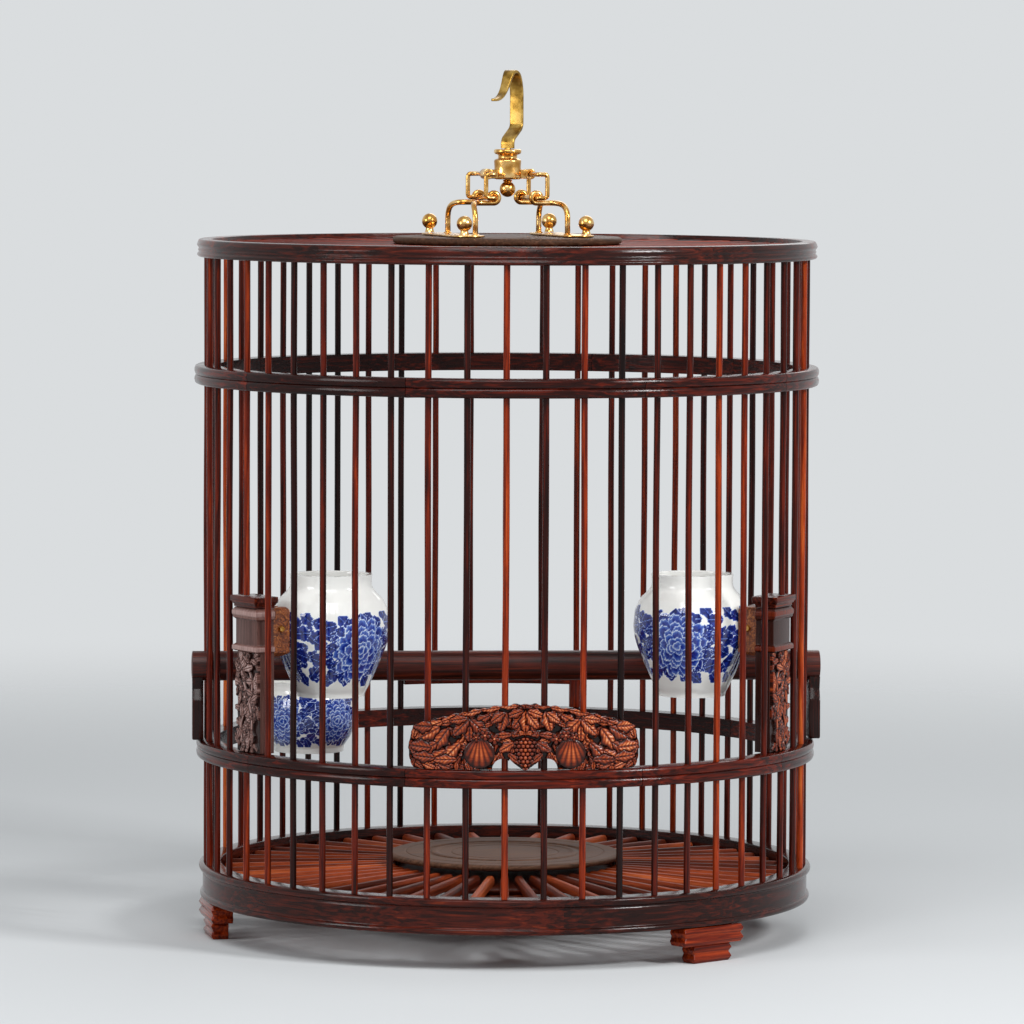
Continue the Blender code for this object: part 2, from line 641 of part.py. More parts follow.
def cup_station(side, turn, back, pin_level, drop, height, radius, pin_share, shares):
    """A cup, its clip and the clip's pin, at one angle round the cage.

    The clip's back lies at the radius back, and the cup's belly touches its front.
    """
    face = back - CLIP_DEPTH
    axis = face - GAP - radius
    pin_place = back - PIN_DEPTH
    foot_level = pin_level - pin_share * height
    low = pin_level - drop
    high = pin_level + CLIP_RISE
    half = CLIP_WIDTH / 2
    slot_end = pin_place + PIN_RADIUS + GAP + EAR_LIP + GAP
    slot_half = EAR_WIDTH / 2 + GAP

    clip_name = "cup_clip_" + side
    levels = [(low, half - EAR_LIP, face + EAR_LIP, back),
              (low + EAR_LIP, half, face - EAR_LIP, back),
              (high - EAR_LIP, half, face - EAR_LIP, back),
              (high, half - EAR_LIP, face, back)]
    clip = add_part(clip_name, mesh_from(clip_name, lambda shape: moulded_block(
        shape, levels)), CARVED_WOOD, turn)
    belly = [(0.0, high + OVERRUN), (radius + GAP, high + OVERRUN),
             (radius + GAP, low - OVERRUN), (0.0, low - OVERRUN)]
    hollow = turned(clip_name + "_belly", belly, 48)
    hollow.transform(Matrix.Translation((0.0, -axis, 0.0)))
    cut(clip, add_helper(clip_name + "_belly", hollow, turn))
    bore = hole_radius(PIN_RADIUS, BAR_SIDES, GAP)
    reach = half + PIN_HEAD_LENGTH

    def slot(shape):
        box(shape, (-slot_half, -slot_end, pin_level - CLIP_TOP_SLOT),
            (slot_half, -face + EAR_LIP + OVERRUN, high + OVERRUN))

    def bore_shape(shape):
        rod(shape, (-reach - OVERRUN, -pin_place, pin_level),
            (reach + OVERRUN, -pin_place, pin_level), bore, BAR_SIDES)
    cut(clip, add_helper(clip_name + "_slot", mesh_from(clip_name + "_slot", slot), turn))
    cut(clip, add_helper(clip_name + "_bore", mesh_from(clip_name + "_bore", bore_shape),
                         turn))

    pin_name = "clip_pin_" + side
    shank = half + GAP
    pin_profile = [(0.0, reach + GAP), (PIN_HEAD_RADIUS * 0.7, reach + GAP),
                   (PIN_HEAD_RADIUS, shank), (PIN_RADIUS, shank), (PIN_RADIUS, -shank),
                   (0.0, -shank)]
    pin = turned(pin_name, pin_profile, BAR_SIDES)
    head_side = 1 if turn < 0 else -1
    pin.transform(Matrix.Translation((0.0, -pin_place, pin_level))
                  @ Matrix.Rotation(head_side * pi / 2, 4, 'Y'))
    add_part(pin_name, pin, BRASS, turn)

    cup_name = "cup_" + side
    body = cup_mesh(cup_name, height, radius, shares, foot_level)
    body.transform(Matrix.Translation((0.0, -axis, 0.0)))
    cup = add_part(cup_name, body, PORCELAIN, turn)
    near = pin_place - PIN_RADIUS - GAP
    far = pin_place + PIN_RADIUS + GAP
    root = axis + radius - CUP_WALL / 2
    crown = pin_level + PIN_RADIUS + GAP + EAR_CROWN
    outline = [(root, pin_level - EAR_ROOT), (near, pin_level - EAR_DROP - PIN_RADIUS),
               (near, pin_level)]
    outline += arc((pin_place, pin_level), far - pin_place, pi, 0.0, 4)[1:]
    outline += [(far, pin_level - EAR_DROP), (far + EAR_LIP, pin_level - EAR_DROP),
                (far + EAR_LIP, crown - EAR_LIP), (far, crown), (root, crown)]
    stand = Matrix.Rotation(-pi / 2, 4, 'Z') @ Matrix.Rotation(pi / 2, 4, 'X')
    ear = flat(cup_name + "_ear", outline, EAR_WIDTH, stand)
    fuse(cup, add_helper(cup_name + "_ear", ear, turn))


# Perch: one straight rod through the gaps beside the middle bars, on two brackets that
# stand outside the bars on the lower hoop
PERCH_RADIUS = 0.0084
PERCH_OVERHANG = 0.009
PERCH_EDGE = 0.0008
BRACKET_HEIGHT = 0.0334
BRACKET_THICKNESS = 0.0064
BRACKET_BLOCK_WIDTH = 0.016
BRACKET_BLOCK_HEIGHT = 0.022
BRACKET_NECK_WIDTH = 0.0085
BRACKET_SADDLE_WIDTH = 0.0125

PERCH_LEVEL = LOWER_HOOP_TOP + BRACKET_HEIGHT + PERCH_RADIUS
PERCH_Y = -BAR_CIRCLE_RADIUS * cos(PERCH_GAP * PITCH)
PERCH_HALF_LENGTH = BAR_CIRCLE_RADIUS + PERCH_OVERHANG


def perch():
    profile = [(0.0, PERCH_HALF_LENGTH),
               (PERCH_RADIUS - PERCH_EDGE, PERCH_HALF_LENGTH),
               (PERCH_RADIUS, PERCH_HALF_LENGTH - PERCH_EDGE),
               (PERCH_RADIUS, PERCH_EDGE - PERCH_HALF_LENGTH),
               (PERCH_RADIUS - PERCH_EDGE, -PERCH_HALF_LENGTH),
               (0.0, -PERCH_HALF_LENGTH)]
    shape = turned("perch", profile, 20)
    shape.transform(Matrix.Translation((0.0, PERCH_Y, PERCH_LEVEL))
                    @ Matrix.Rotation(pi / 2, 4, 'Y'))
    add_part("perch", shape, DARK_WOOD)


def perch_bracket(side, sign):
    """A block with a curved neck and a saddle that fits the underside of the perch."""
    bottom = LOWER_HOOP_TOP + GAP
    shoulder = bottom + BRACKET_BLOCK_HEIGHT
    half = BRACKET_BLOCK_WIDTH / 2
    neck = BRACKET_NECK_WIDTH / 2
    saddle = BRACKET_SADDLE_WIDTH / 2
    fit = PERCH_RADIUS + GAP
    drop = atan2(sqrt(fit ** 2 - saddle ** 2), saddle)
    saddle_arc = arc((0.0, PERCH_LEVEL), fit, -drop, drop - pi, 6)
    waist = (shoulder + saddle_arc[0][1]) / 2
    outline = [(-half, bottom), (half, bottom), (half, shoulder), (neck, waist)]
    outline += saddle_arc + [(-neck, waist), (-half, shoulder)]
    middle = BAR_CIRCLE_RADIUS + BAR_RADIUS + GAP + BRACKET_THICKNESS / 2
    stand = (Matrix.Translation((sign * middle, PERCH_Y, 0.0))
             @ Matrix.Rotation(pi / 2, 4, 'Z') @ Matrix.Rotation(pi / 2, 4, 'X'))
    name = "perch_bracket_" + side
    add_part(name, flat(name, outline, BRACKET_THICKNESS, stand), DARK_WOOD)


# Plaque: a carved board bent to the hoop, arched on top, with two small arches below
PLAQUE_HALF_LENGTH = 0.0635
PLAQUE_HEIGHT = 0.0365
PLAQUE_THICKNESS = 0.0028
PLAQUE_RELIEF = 0.0017
PLAQUE_ARCH_HEIGHT = 0.0062
PLAQUE_COLUMNS = 32
PLAQUE_ROWS = 4
PLAQUE_ARCH_SHARES = (0.19, 0.09)
PLAQUE_END_SHARE = 0.93


def plaque():
    """Front and back are grids over length and height, stitched along their edge."""
    along = np.linspace(-1.0, 1.0, PLAQUE_COLUMNS + 1)
    up = np.linspace(0.0, 1.0, PLAQUE_ROWS + 1)
    end = np.clip((np.abs(along) - PLAQUE_END_SHARE) / (1 - PLAQUE_END_SHARE), 0, 1)
    top = PLAQUE_HEIGHT * (1.0 - 0.34 * np.abs(along) ** 1.6) * (1 - 0.45 * end ** 2)
    top = top * (1 + 0.035 * np.cos(11 * pi * along))
    middle, width = PLAQUE_ARCH_SHARES
    arch = np.clip(1 - ((np.abs(along) - middle) / width) ** 2, 0, 1)
    bottom = PLAQUE_ARCH_HEIGHT * (np.sqrt(arch) + end ** 2)
    length, height = np.meshgrid(along, up)
    level = bottom + (top - bottom) * height
    swell = np.sin(pi * height) * (0.55 + 0.45 * np.cos(9 * pi * length))
    back = BAR_CIRCLE_RADIUS + BAR_RADIUS + GAP
    front = back + PLAQUE_THICKNESS + PLAQUE_RELIEF * swell
    turn = length * PLAQUE_HALF_LENGTH / back
    level = level + LOWER_HOOP_TOP + GAP

    def build(shape):
        sides = [[[shape.verts.new(place) for place in row] for row in np.stack(
            (radius * np.sin(turn), -radius * np.cos(turn), level), axis=2)]
            for radius in (front, np.full_like(front, back))]
        rows, columns = len(up), len(along)
        for grid in sides:
            for row in range(rows - 1):
                for column in range(columns - 1):
                    shape.faces.new((grid[row][column], grid[row][column + 1],
                                     grid[row + 1][column + 1], grid[row + 1][column]))
        rim = [(0, column) for column in range(columns)]
        rim += [(row, columns - 1) for row in range(1, rows)]
        rim += [(rows - 1, column) for column in range(columns - 2, -1, -1)]
        rim += [(row, 0) for row in range(rows - 2, 0, -1)]
        for (row, column), (row_next, column_next) in zip(rim, rim[1:] + rim[:1]):
            shape.faces.new((sides[0][row][column], sides[1][row][column],
                             sides[1][row_next][column_next],
                             sides[0][row_next][column_next]))
    add_part("plaque", mesh_from("plaque", build), CARVED_WOOD)


# Door: four bars between two curved rails, turning on the doorway's first full bar.
# Its lower sleeve stands on the lower hoop, and a brass plate laps the other full bar.
DOOR_RAIL_DEPTH = 0.006
DOOR_RISE = 0.014
DOOR_LOWER_RAIL = 0.014
DOOR_UPPER_RAIL = 0.010
DOOR_HEAD_ROOM = 0.0064
DOOR_KNUCKLE_WALL = 0.0020
DOOR_SIDE_GAP = 0.0005
CATCH_HEIGHT = 0.010
CATCH_LENGTH = 0.016
CATCH_THICKNESS = 0.0012
CATCH_KNOB_RADIUS = 0.0030
CATCH_KNOB_REACH = 0.0065

DOOR_LOWER = LOWER_HOOP_TOP + DOOR_RISE
DOOR_UPPER = UPPER_HOOP_BOTTOM - DOOR_HEAD_ROOM


def door():
    hinge_turn = bar_angle(DOOR_BAR)
    free_turn = bar_angle(DOOR_BAR + 5)
    hinge = (BAR_CIRCLE_RADIUS * sin(hinge_turn), -BAR_CIRCLE_RADIUS * cos(hinge_turn))
    bore = (BAR_RADIUS + RUNNING_GAP) / cos(pi / 12)
    sleeve = bore + DOOR_KNUCKLE_WALL
    inner = BAR_CIRCLE_RADIUS - DOOR_RAIL_DEPTH / 2
    outer = BAR_CIRCLE_RADIUS + DOOR_RAIL_DEPTH / 2
    start = hinge_turn + (bore + BURY) / BAR_CIRCLE_RADIUS
    end = free_turn - (BAR_RADIUS + DOOR_SIDE_GAP) / BAR_CIRCLE_RADIUS
    turns = [start] + [bar_angle(DOOR_BAR + index) + HALF_FACET for index in range(5)]
    turns.append(end)

    def rails(shape):
        for low, high in ((DOOR_LOWER, DOOR_LOWER + DOOR_LOWER_RAIL),
                          (DOOR_UPPER - DOOR_UPPER_RAIL, DOOR_UPPER)):
            section = [Vector(point) for point in (
                (0.0, -inner, low), (0.0, -outer, low), (0.0, -outer, high),
                (0.0, -inner, high))]
            loft(shape, [[Matrix.Rotation(turn, 3, 'Z') @ point for point in section]
                         for turn in turns])

    def sleeves(shape):
        for low, high in ((LOWER_HOOP_TOP + GAP, DOOR_LOWER + DOOR_LOWER_RAIL + GAP),
                          (DOOR_UPPER - DOOR_UPPER_RAIL - GAP, DOOR_UPPER + GAP)):
            rod(shape, (*hinge, low), (*hinge, high), sleeve, 12)

    def bars(shape):
        for index in range(1, 5):
            turn = bar_angle(DOOR_BAR + index)
            x = BAR_CIRCLE_RADIUS * sin(turn)
            y = -BAR_CIRCLE_RADIUS * cos(turn)
            rod(shape, (x, y, DOOR_LOWER + DOOR_LOWER_RAIL - BURY),
                (x, y, DOOR_UPPER - DOOR_UPPER_RAIL + BURY), BAR_RADIUS, BAR_SIDES, turn)

    def bores(shape):
        rod(shape, (*hinge, LOWER_HOOP_TOP - OVERRUN), (*hinge, DOOR_UPPER + OVERRUN),
            bore, 12)
    leaf = add_part("door", mesh_from("door", rails), RED_WOOD)
    fuse(leaf, add_helper("door_bars", mesh_from("door_bars", bars)))
    fuse(leaf, add_helper("door_sleeves", mesh_from("door_sleeves", sleeves)))
    cut(leaf, add_helper("door_bores", mesh_from("door_bores", bores)))

    face = outer + GAP
    half = CATCH_HEIGHT / 2
    level = DOOR_LOWER + DOOR_LOWER_RAIL / 2

    def plate(shape):
        box(shape, (-CATCH_LENGTH * 0.7, -face - CATCH_THICKNESS, level - half),
            (CATCH_LENGTH * 0.3, -face, level + half))

    def knob(shape):
        knob_x = -CATCH_LENGTH * 0.4
        rod(shape, (knob_x, -face - CATCH_THICKNESS / 2, level),
            (knob_x, -face - CATCH_KNOB_REACH, level), CATCH_KNOB_RADIUS, 12)
    catch = add_part("door_catch", mesh_from("door_catch", plate), BRASS, free_turn)
    fuse(catch, add_helper("catch_knob", mesh_from("catch_knob", knob), free_turn))


# Claw: brass plates on the top disc carry bent legs, whose upper ends are curled round
# the lower bars of two links. The links' upper bars run in the swivel block's arms.
CLAW_TURN = radians(12.4)
PLATE_THICKNESS = 0.0011
PLATE_WIDTH = 0.018
PLATE_LENGTH = 0.084
PLATE_PLACE = 0.0320
LEG_RADIUS = 0.00155
LEG_FOOT_OUT = 0.027
LEG_FOOT_SIDE = 0.029
LEG_TOP_OUT = 0.0195
LEG_EYE_SIDE = 0.0155
LEG_BEND_DROP = 0.0095
LINK_RADIUS = 0.0013
LINK_SIDE = 0.019
LINK_BOW = 0.0055
LINK_HEIGHT = 0.0133
LINK_CORNER = 0.0018
PIVOT_OUT = 0.0125
PIVOT_RISE = 0.0206
BALL_NUT_RADIUS = 0.0044
BALL_NUT_RISE = 0.0066
BALL_NUT_NECK = 0.0024
BALL_NUT_OUT = 0.0356
BALL_NUT_SIDE = 0.037

PLATE_BOTTOM = TOP_DISC_TOP + GAP
PLATE_TOP = PLATE_BOTTOM + PLATE_THICKNESS
LOWER_PIVOT = PLATE_TOP + PIVOT_RISE
UPPER_PIVOT = LOWER_PIVOT + LINK_HEIGHT
CURL_RADIUS = LINK_RADIUS + GAP + LEG_RADIUS


def bezier(controls, steps):
    """Points of the cubic curve with four control points, both ends included."""
    controls = [np.array(point, dtype=float) for point in controls]
    points = []
    for t in np.linspace(0.0, 1.0, steps):
        weights = ((1 - t) ** 3, 3 * t * (1 - t) ** 2, 3 * t ** 2 * (1 - t), t ** 3)
        points.append(sum(weight * place for weight, place in zip(weights, controls)))
    return points


def leg_points(sign_side):
    """Middle line of one leg at the right: up, a smooth bend inwards, and the curl."""
    run = LOWER_PIVOT - CURL_RADIUS
    bend = ((LEG_FOOT_OUT, LEG_FOOT_SIDE, run - LEG_BEND_DROP),
            (LEG_FOOT_OUT, LEG_FOOT_SIDE, run), (LEG_FOOT_OUT, LEG_EYE_SIDE, run),
            (LEG_TOP_OUT, LEG_EYE_SIDE, run))
    points = [np.array((LEG_FOOT_OUT, LEG_FOOT_SIDE, (PLATE_BOTTOM + PLATE_TOP) / 2))]
    points += bezier(bend, 5)
    for turn in np.linspace(-pi / 2, -2 * pi, 8):
        points.append(np.array((PIVOT_OUT + CURL_RADIUS * cos(turn), LEG_EYE_SIDE,
                                LOWER_PIVOT + CURL_RADIUS * sin(turn))))
    return [(x, -sign_side * y, z) for x, y, z in points]


def claw_base(side, sign):
    half_width = PLATE_WIDTH / 2
    half_length = PLATE_LENGTH / 2
    straight = half_length - half_width
    outline = arc((0.0, straight), half_width, 0.0, pi, 6)
    outline += arc((0.0, -straight), half_width, pi, 2 * pi, 6)
    middle = (PLATE_BOTTOM + PLATE_TOP) / 2
    name = "claw_base_" + side
    plate = flat(name, outline, PLATE_THICKNESS,
                 Matrix.Translation((sign * PLATE_PLACE, 0.0, middle)))
    base = add_part(name, plate, BRASS, CLAW_TURN)
    for end, sign_side in (("front", 1), ("back", -1)):
        tool = name + "_leg_" + end
        points = [(sign * x, y, z) for x, y, z in leg_points(sign_side)]
        fuse(base, add_helper(tool, wire(tool, points, LEG_RADIUS, resolution=1),
                              CLAW_TURN))


def ball_nut(name, sign, sign_side):
    """A ball on a short neck, turned in one piece."""
    centre = PLATE_TOP + BALL_NUT_RISE
    ball = arc((0.0, centre), BALL_NUT_RADIUS, pi / 2, -pi / 3, 6)
    ball[0] = (0.0, centre + BALL_NUT_RADIUS)
    profile = ball + [(BALL_NUT_NECK, PLATE_TOP + BALL_NUT_NECK / 2),
                      (BALL_NUT_NECK + GAP, PLATE_TOP + GAP), (0.0, PLATE_TOP + GAP)]
    nut = turned(name, profile, 12)
    nut.transform(Matrix.Translation((sign * BALL_NUT_OUT, -sign_side * BALL_NUT_SIDE,
                                      0.0)))
    add_part(name, nut, BRASS, CLAW_TURN)


def link_points(sign):
    """A closed loop of wire, bowed outwards between its two pivot bars."""
    out = PIVOT_OUT + LINK_BOW
    corners = [(PIVOT_OUT, -LINK_SIDE, UPPER_PIVOT), (PIVOT_OUT, LINK_SIDE, UPPER_PIVOT),
               (out, LINK_SIDE, UPPER_PIVOT), (out, LINK_SIDE, LOWER_PIVOT),
               (PIVOT_OUT, LINK_SIDE, LOWER_PIVOT), (PIVOT_OUT, -LINK_SIDE, LOWER_PIVOT),
               (out, -LINK_SIDE, LOWER_PIVOT), (out, -LINK_SIDE, UPPER_PIVOT)]
    points = []
    for index, corner in enumerate(corners):
        here = Vector(corner)
        before = (Vector(corners[index - 1]) - here).normalized() * LINK_CORNER
        after = (Vector(corners[(index + 1) % len(corners)]) - here).normalized()
        after = after * LINK_CORNER
        points += [here + before, here + after]
    return [(sign * point.x, point.y, point.z) for point in points]


def claw_link(side, sign):
    name = "claw_link_" + side
    add_part(name, wire(name, link_points(sign), LINK_RADIUS, closed=True, resolution=1),
             BRASS, CLAW_TURN)


# Swivel: the block carries the hook's shank, which a ball nut holds from below
BLOCK_RADIUS = 0.0078
BLOCK_DROP = 0.003
BLOCK_HEIGHT = 0.0171
BLOCK_GROOVE_DEPTH = 0.0024
BLOCK_GROOVE_SHARES = (0.66, 0.69, 0.81, 0.84)
ARM_HALF_WIDTH = 0.004
KNUCKLE_RADIUS = 0.0030
SHANK_RADIUS = 0.0018
HOOK_NUT_RADIUS = 0.0045
HOOK_NUT_DROP = 0.0085
HOOK_TURN = radians(-28.6)
HOOK_WIDTH = 0.0080
HOOK_THICKNESS = 0.0020
HOOK_TIP_WIDTH = 0.0032
HOOK_STEP_BACK = 0.0120
HOOK_LOW_RUN = 0.0050
HOOK_STEP_RUN = 0.0070
HOOK_RISE = 0.0445
HOOK_BEND_HEIGHT = 0.0152
HOOK_CREST_BACK = 0.0040
HOOK_BEND_FULLNESS = 0.6
HOOK_NOSE_REACH = 0.0190
HOOK_NOSE_DROP = 0.0160
HOOK_NOSE_BOW = 0.0023

BLOCK_BOTTOM = UPPER_PIVOT - BLOCK_DROP
BLOCK_TOP = BLOCK_BOTTOM + BLOCK_HEIGHT
HOOK_NUT_LEVEL = UPPER_PIVOT - HOOK_NUT_DROP


def swivel_block():
    groove = BLOCK_RADIUS - BLOCK_GROOVE_DEPTH
    level = [BLOCK_BOTTOM + share * BLOCK_HEIGHT for share in BLOCK_GROOVE_SHARES]
    profile = [(0.0, BLOCK_TOP), (BLOCK_RADIUS, BLOCK_TOP), (BLOCK_RADIUS, level[3]),
               (groove, level[2]), (groove, level[1]), (BLOCK_RADIUS, level[0]),
               (BLOCK_RADIUS, BLOCK_BOTTOM), (0.0, BLOCK_BOTTOM)]
    block = add_part("swivel_block", turned("swivel_block", profile, 20), BRASS,
                     CLAW_TURN)
    low = UPPER_PIVOT - KNUCKLE_RADIUS
    high = UPPER_PIVOT + KNUCKLE_RADIUS

    def arms(shape):
        box(shape, (-PIVOT_OUT, -ARM_HALF_WIDTH, low), (PIVOT_OUT, ARM_HALF_WIDTH, high))

    def knuckles(shape):
        for sign in (-1, 1):
            rod(shape, (sign * PIVOT_OUT, -ARM_HALF_WIDTH - GAP, UPPER_PIVOT),
                (sign * PIVOT_OUT, ARM_HALF_WIDTH + GAP, UPPER_PIVOT), KNUCKLE_RADIUS, 12)

    def bores(shape):
        reach = ARM_HALF_WIDTH + OVERRUN
        bore = hole_radius(LINK_RADIUS, BAR_SIDES, GAP)
        for sign in (-1, 1):
            rod(shape, (sign * PIVOT_OUT, -reach, UPPER_PIVOT),
                (sign * PIVOT_OUT, reach, UPPER_PIVOT), bore, BAR_SIDES)
        bore = hole_radius(SHANK_RADIUS, 12, GAP)
        rod(shape, (0.0, 0.0, BLOCK_BOTTOM - OVERRUN), (0.0, 0.0, BLOCK_TOP + OVERRUN),
            bore, 12)
    fuse(block, add_helper("block_arms", mesh_from("block_arms", arms), CLAW_TURN))
    fuse(block, add_helper("block_knuckles", mesh_from("block_knuckles", knuckles),
                           CLAW_TURN))
    cut(block, add_helper("block_bores", mesh_from("block_bores", bores), CLAW_TURN))


def hook_path():
    """Middle line of the strip as (forward, height), from its foot to the tip."""
    foot_level = BLOCK_TOP + GAP
    back = -HOOK_STEP_BACK
    step_start = foot_level + HOOK_LOW_RUN
    step_end = step_start + HOOK_STEP_RUN
    crest = (-HOOK_CREST_BACK, foot_level + HOOK_RISE - HOOK_THICKNESS / 2)
    spring = (back, crest[1] - HOOK_BEND_HEIGHT)
    full = HOOK_BEND_FULLNESS
    rise = [spring, (back, spring[1] + full * HOOK_BEND_HEIGHT),
            (back + (1 - full) * (crest[0] - back), crest[1]), crest]
    nose = crest[1] - HOOK_NOSE_DROP
    fall = [crest, (HOOK_NOSE_BOW, crest[1]), (HOOK_NOSE_BOW, nose), (HOOK_NOSE_REACH, nose)]
    path = [(0.0, foot_level), (0.0, step_start), (back, step_end)]
    return path + bezier(rise, 6) + bezier(fall, 9)[1:]


def hook():
    path = [Vector(point) for point in hook_path()]
    shrink = np.clip(np.linspace(-1.5, 1.0, len(path)), 0.0, 1.0)
    widths = HOOK_WIDTH + (HOOK_TIP_WIDTH - HOOK_WIDTH) * shrink

    def strip(shape):
        sections = []
        for index, here in enumerate(path):
            before = path[max(index - 1, 0)]
            after = path[min(index + 1, len(path) - 1)]
            way = (after - before).normalized()
            side = Vector((-way.y, way.x)) * HOOK_THICKNESS / 2
            half = widths[index] / 2
            inner = here + side
            outer = here - side
            sections.append([(half, -inner.x, inner.y), (-half, -inner.x, inner.y),
                             (-half, -outer.x, outer.y), (half, -outer.x, outer.y)])
        loft(shape, sections)

    def shank(shape):
        rod(shape, (0.0, 0.0, HOOK_NUT_LEVEL + GAP), (0.0, 0.0, BLOCK_TOP + GAP + BURY),
            SHANK_RADIUS, 12)
    piece = add_part("hook", mesh_from("hook", strip), BRASS, HOOK_TURN)
    fuse(piece, add_helper("hook_shank", mesh_from("hook_shank", shank), HOOK_TURN))


def hook_nut():
    """The ball nut at the shank's lower end, bored to take it."""
    neck = BLOCK_BOTTOM - GAP
    ball = arc((0.0, HOOK_NUT_LEVEL), HOOK_NUT_RADIUS, pi / 3, -pi / 2, 6)
    ball[-1] = (0.0, HOOK_NUT_LEVEL - HOOK_NUT_RADIUS)
    bore = (SHANK_RADIUS + GAP) / cos(pi / 14)
    collar = bore + BALL_NUT_NECK / 2
    profile = [(0.0, HOOK_NUT_LEVEL), (bore, HOOK_NUT_LEVEL), (bore, neck),
               (collar, neck)] + ball
    add_part("hook_nut", turned("hook_nut", profile, 14), BRASS)


def build_cage():
    base_ring()
    for name, degrees in FOOT_ANGLES.items():
        foot(name, degrees)
    floor_board("floor_board_long", BOARD_TURN, HALF_LAP - GAP, BOARD_TOP + OVERRUN)
    floor_board("floor_board_cross", BOARD_TURN + pi / 2, BOARD_BOTTOM - OVERRUN, HALF_LAP)
    floor_rods()
    floor_platform()
    for name, (start, count) in BAYS.items():
        bar_bay(name, start, count)
    top_ring()
    top_slats()
    top_disc()
    post_turn = bar_angle(POST_BAR)
    for side, sign in (("left", -1), ("right", 1)):
        post(side, sign * post_turn)
        post_cap(side, sign * post_turn)
        cup_station(side, sign * post_turn, POST_INNER - GAP, POST_TOP - CLIP_RISE,
                    TALL_CLIP_DROP, TALL_CUP_HEIGHT, TALL_CUP_RADIUS, TALL_CUP_PIN_SHARE,
                    TALL_CUP_SHARES)
        perch_bracket(side, sign)
        claw_base(side, sign)
        claw_link(side, sign)
        for end, sign_side in (("front", 1), ("back", -1)):
            ball_nut("ball_nut_" + side + "_" + end, sign, sign_side)
    cup_station("low", -17 * PITCH, BAR_CIRCLE_RADIUS - BAR_RADIUS - GAP,
                LOWER_HOOP_TOP + GAP + LOW_CLIP_DROP, LOW_CLIP_DROP, LOW_CUP_HEIGHT,
                LOW_CUP_RADIUS, LOW_CUP_PIN_SHARE, LOW_CUP_SHARES)
    perch()
    plaque()
    door()
    swivel_block()
    hook()
    hook_nut()


build_cage()
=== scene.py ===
"""A round rosewood birdcage with porcelain cups, a carved plaque and a brass claw.

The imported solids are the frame. The pieces follow in the order in which the cage is put
together: each is drawn where its solid stands and takes the solid's place. Metres, +Z up,
the front faces -Y, and angles are counted from the front, positive towards +X.
"""
from math import cos, pi, radians, sin

import bmesh
import bpy
import numpy as np
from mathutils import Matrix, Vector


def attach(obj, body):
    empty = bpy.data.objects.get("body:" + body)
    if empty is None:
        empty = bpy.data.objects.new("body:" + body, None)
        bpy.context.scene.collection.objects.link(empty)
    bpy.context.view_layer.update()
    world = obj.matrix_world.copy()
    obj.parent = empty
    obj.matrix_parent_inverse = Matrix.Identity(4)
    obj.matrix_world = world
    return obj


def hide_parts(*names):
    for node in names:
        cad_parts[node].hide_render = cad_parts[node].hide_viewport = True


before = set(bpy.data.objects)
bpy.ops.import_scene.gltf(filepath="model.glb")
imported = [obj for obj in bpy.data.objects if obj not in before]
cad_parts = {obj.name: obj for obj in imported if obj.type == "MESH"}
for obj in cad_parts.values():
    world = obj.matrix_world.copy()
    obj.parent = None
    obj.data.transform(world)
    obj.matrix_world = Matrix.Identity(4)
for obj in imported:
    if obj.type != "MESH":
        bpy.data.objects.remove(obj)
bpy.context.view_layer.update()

# Base ring: a heavy ring glued up from sawn segments of rosewood and turned, with a bead
# at its foot and a rounded flange on top that the bars are let into. It is oiled and
# rubbed until it is nearly black, with a soft shine on every rounded edge.
BARS = 50
PITCH = 2 * pi / BARS
BAR_CIRCLE = 0.170
BASE_PROFILE = ((0.1620, 0.0400), (0.1722, 0.0400), (0.1742, 0.0392), (0.1745, 0.0375),
                (0.1738, 0.0359), (0.1721, 0.0352), (0.1719, 0.0345), (0.1723, 0.0338),
                (0.1723, 0.0239), (0.1734, 0.0234), (0.1739, 0.0220), (0.1733, 0.0205),
                (0.1720, 0.0202), (0.1540, 0.0202), (0.1540, 0.0307), (0.1620, 0.0307))
RING_SEGMENTS, SEGMENT_STEPS = 10, 20
WELD, CREASE = 0.000002, radians(36)
TREE_SHIFT = np.array((0.137, 0.071, 0.293))
BAND_WIDTH, BAND_LENGTH = 0.0016, 0.045
# Real pores are 0.1 to 0.2 mm wide, too fine to show, so they are drawn wider.
PORE_WIDTH, PORE_LENGTH = 0.00045, 0.006


def linear(colour):
    """An sRGB hex colour as linear red, green and blue, with alpha 1."""
    parts = np.array([int(colour[place:place + 2], 16) for place in (1, 3, 5)]) / 255
    parts = np.where(parts <= 0.04045, parts / 12.92, ((parts + 0.055) / 1.055) ** 2.4)
    return (*parts, 1.0)


def node(tree, kind, sockets=(), stops=(), **settings):
    """Adds one shader node with its settings, colour stops, values and links. A socket
    is given by its name or its number. A mapped range takes, in order, the value, the
    two ends that it comes from and the two that it goes to."""
    made = tree.nodes.new("ShaderNode" + kind)
    for setting, value in settings.items():
        setattr(made, setting, value)
    for place, (share, colour) in enumerate(stops):
        ramp = made.color_ramp.elements
        stop = ramp[place] if place < 2 else ramp.new(share)
        stop.position = share
        stop.color = linear(colour)
    for socket, value in sockets:
        if isinstance(value, bpy.types.NodeSocket):
            tree.links.new(value, made.inputs[socket])
        else:
            made.inputs[socket].default_value = value
    return made


def blank(name):
    """A new material, its node tree and its shader."""
    made = bpy.data.materials.new(name)
    made.use_nodes = True
    return made, made.node_tree, made.node_tree.nodes["Principled BSDF"]


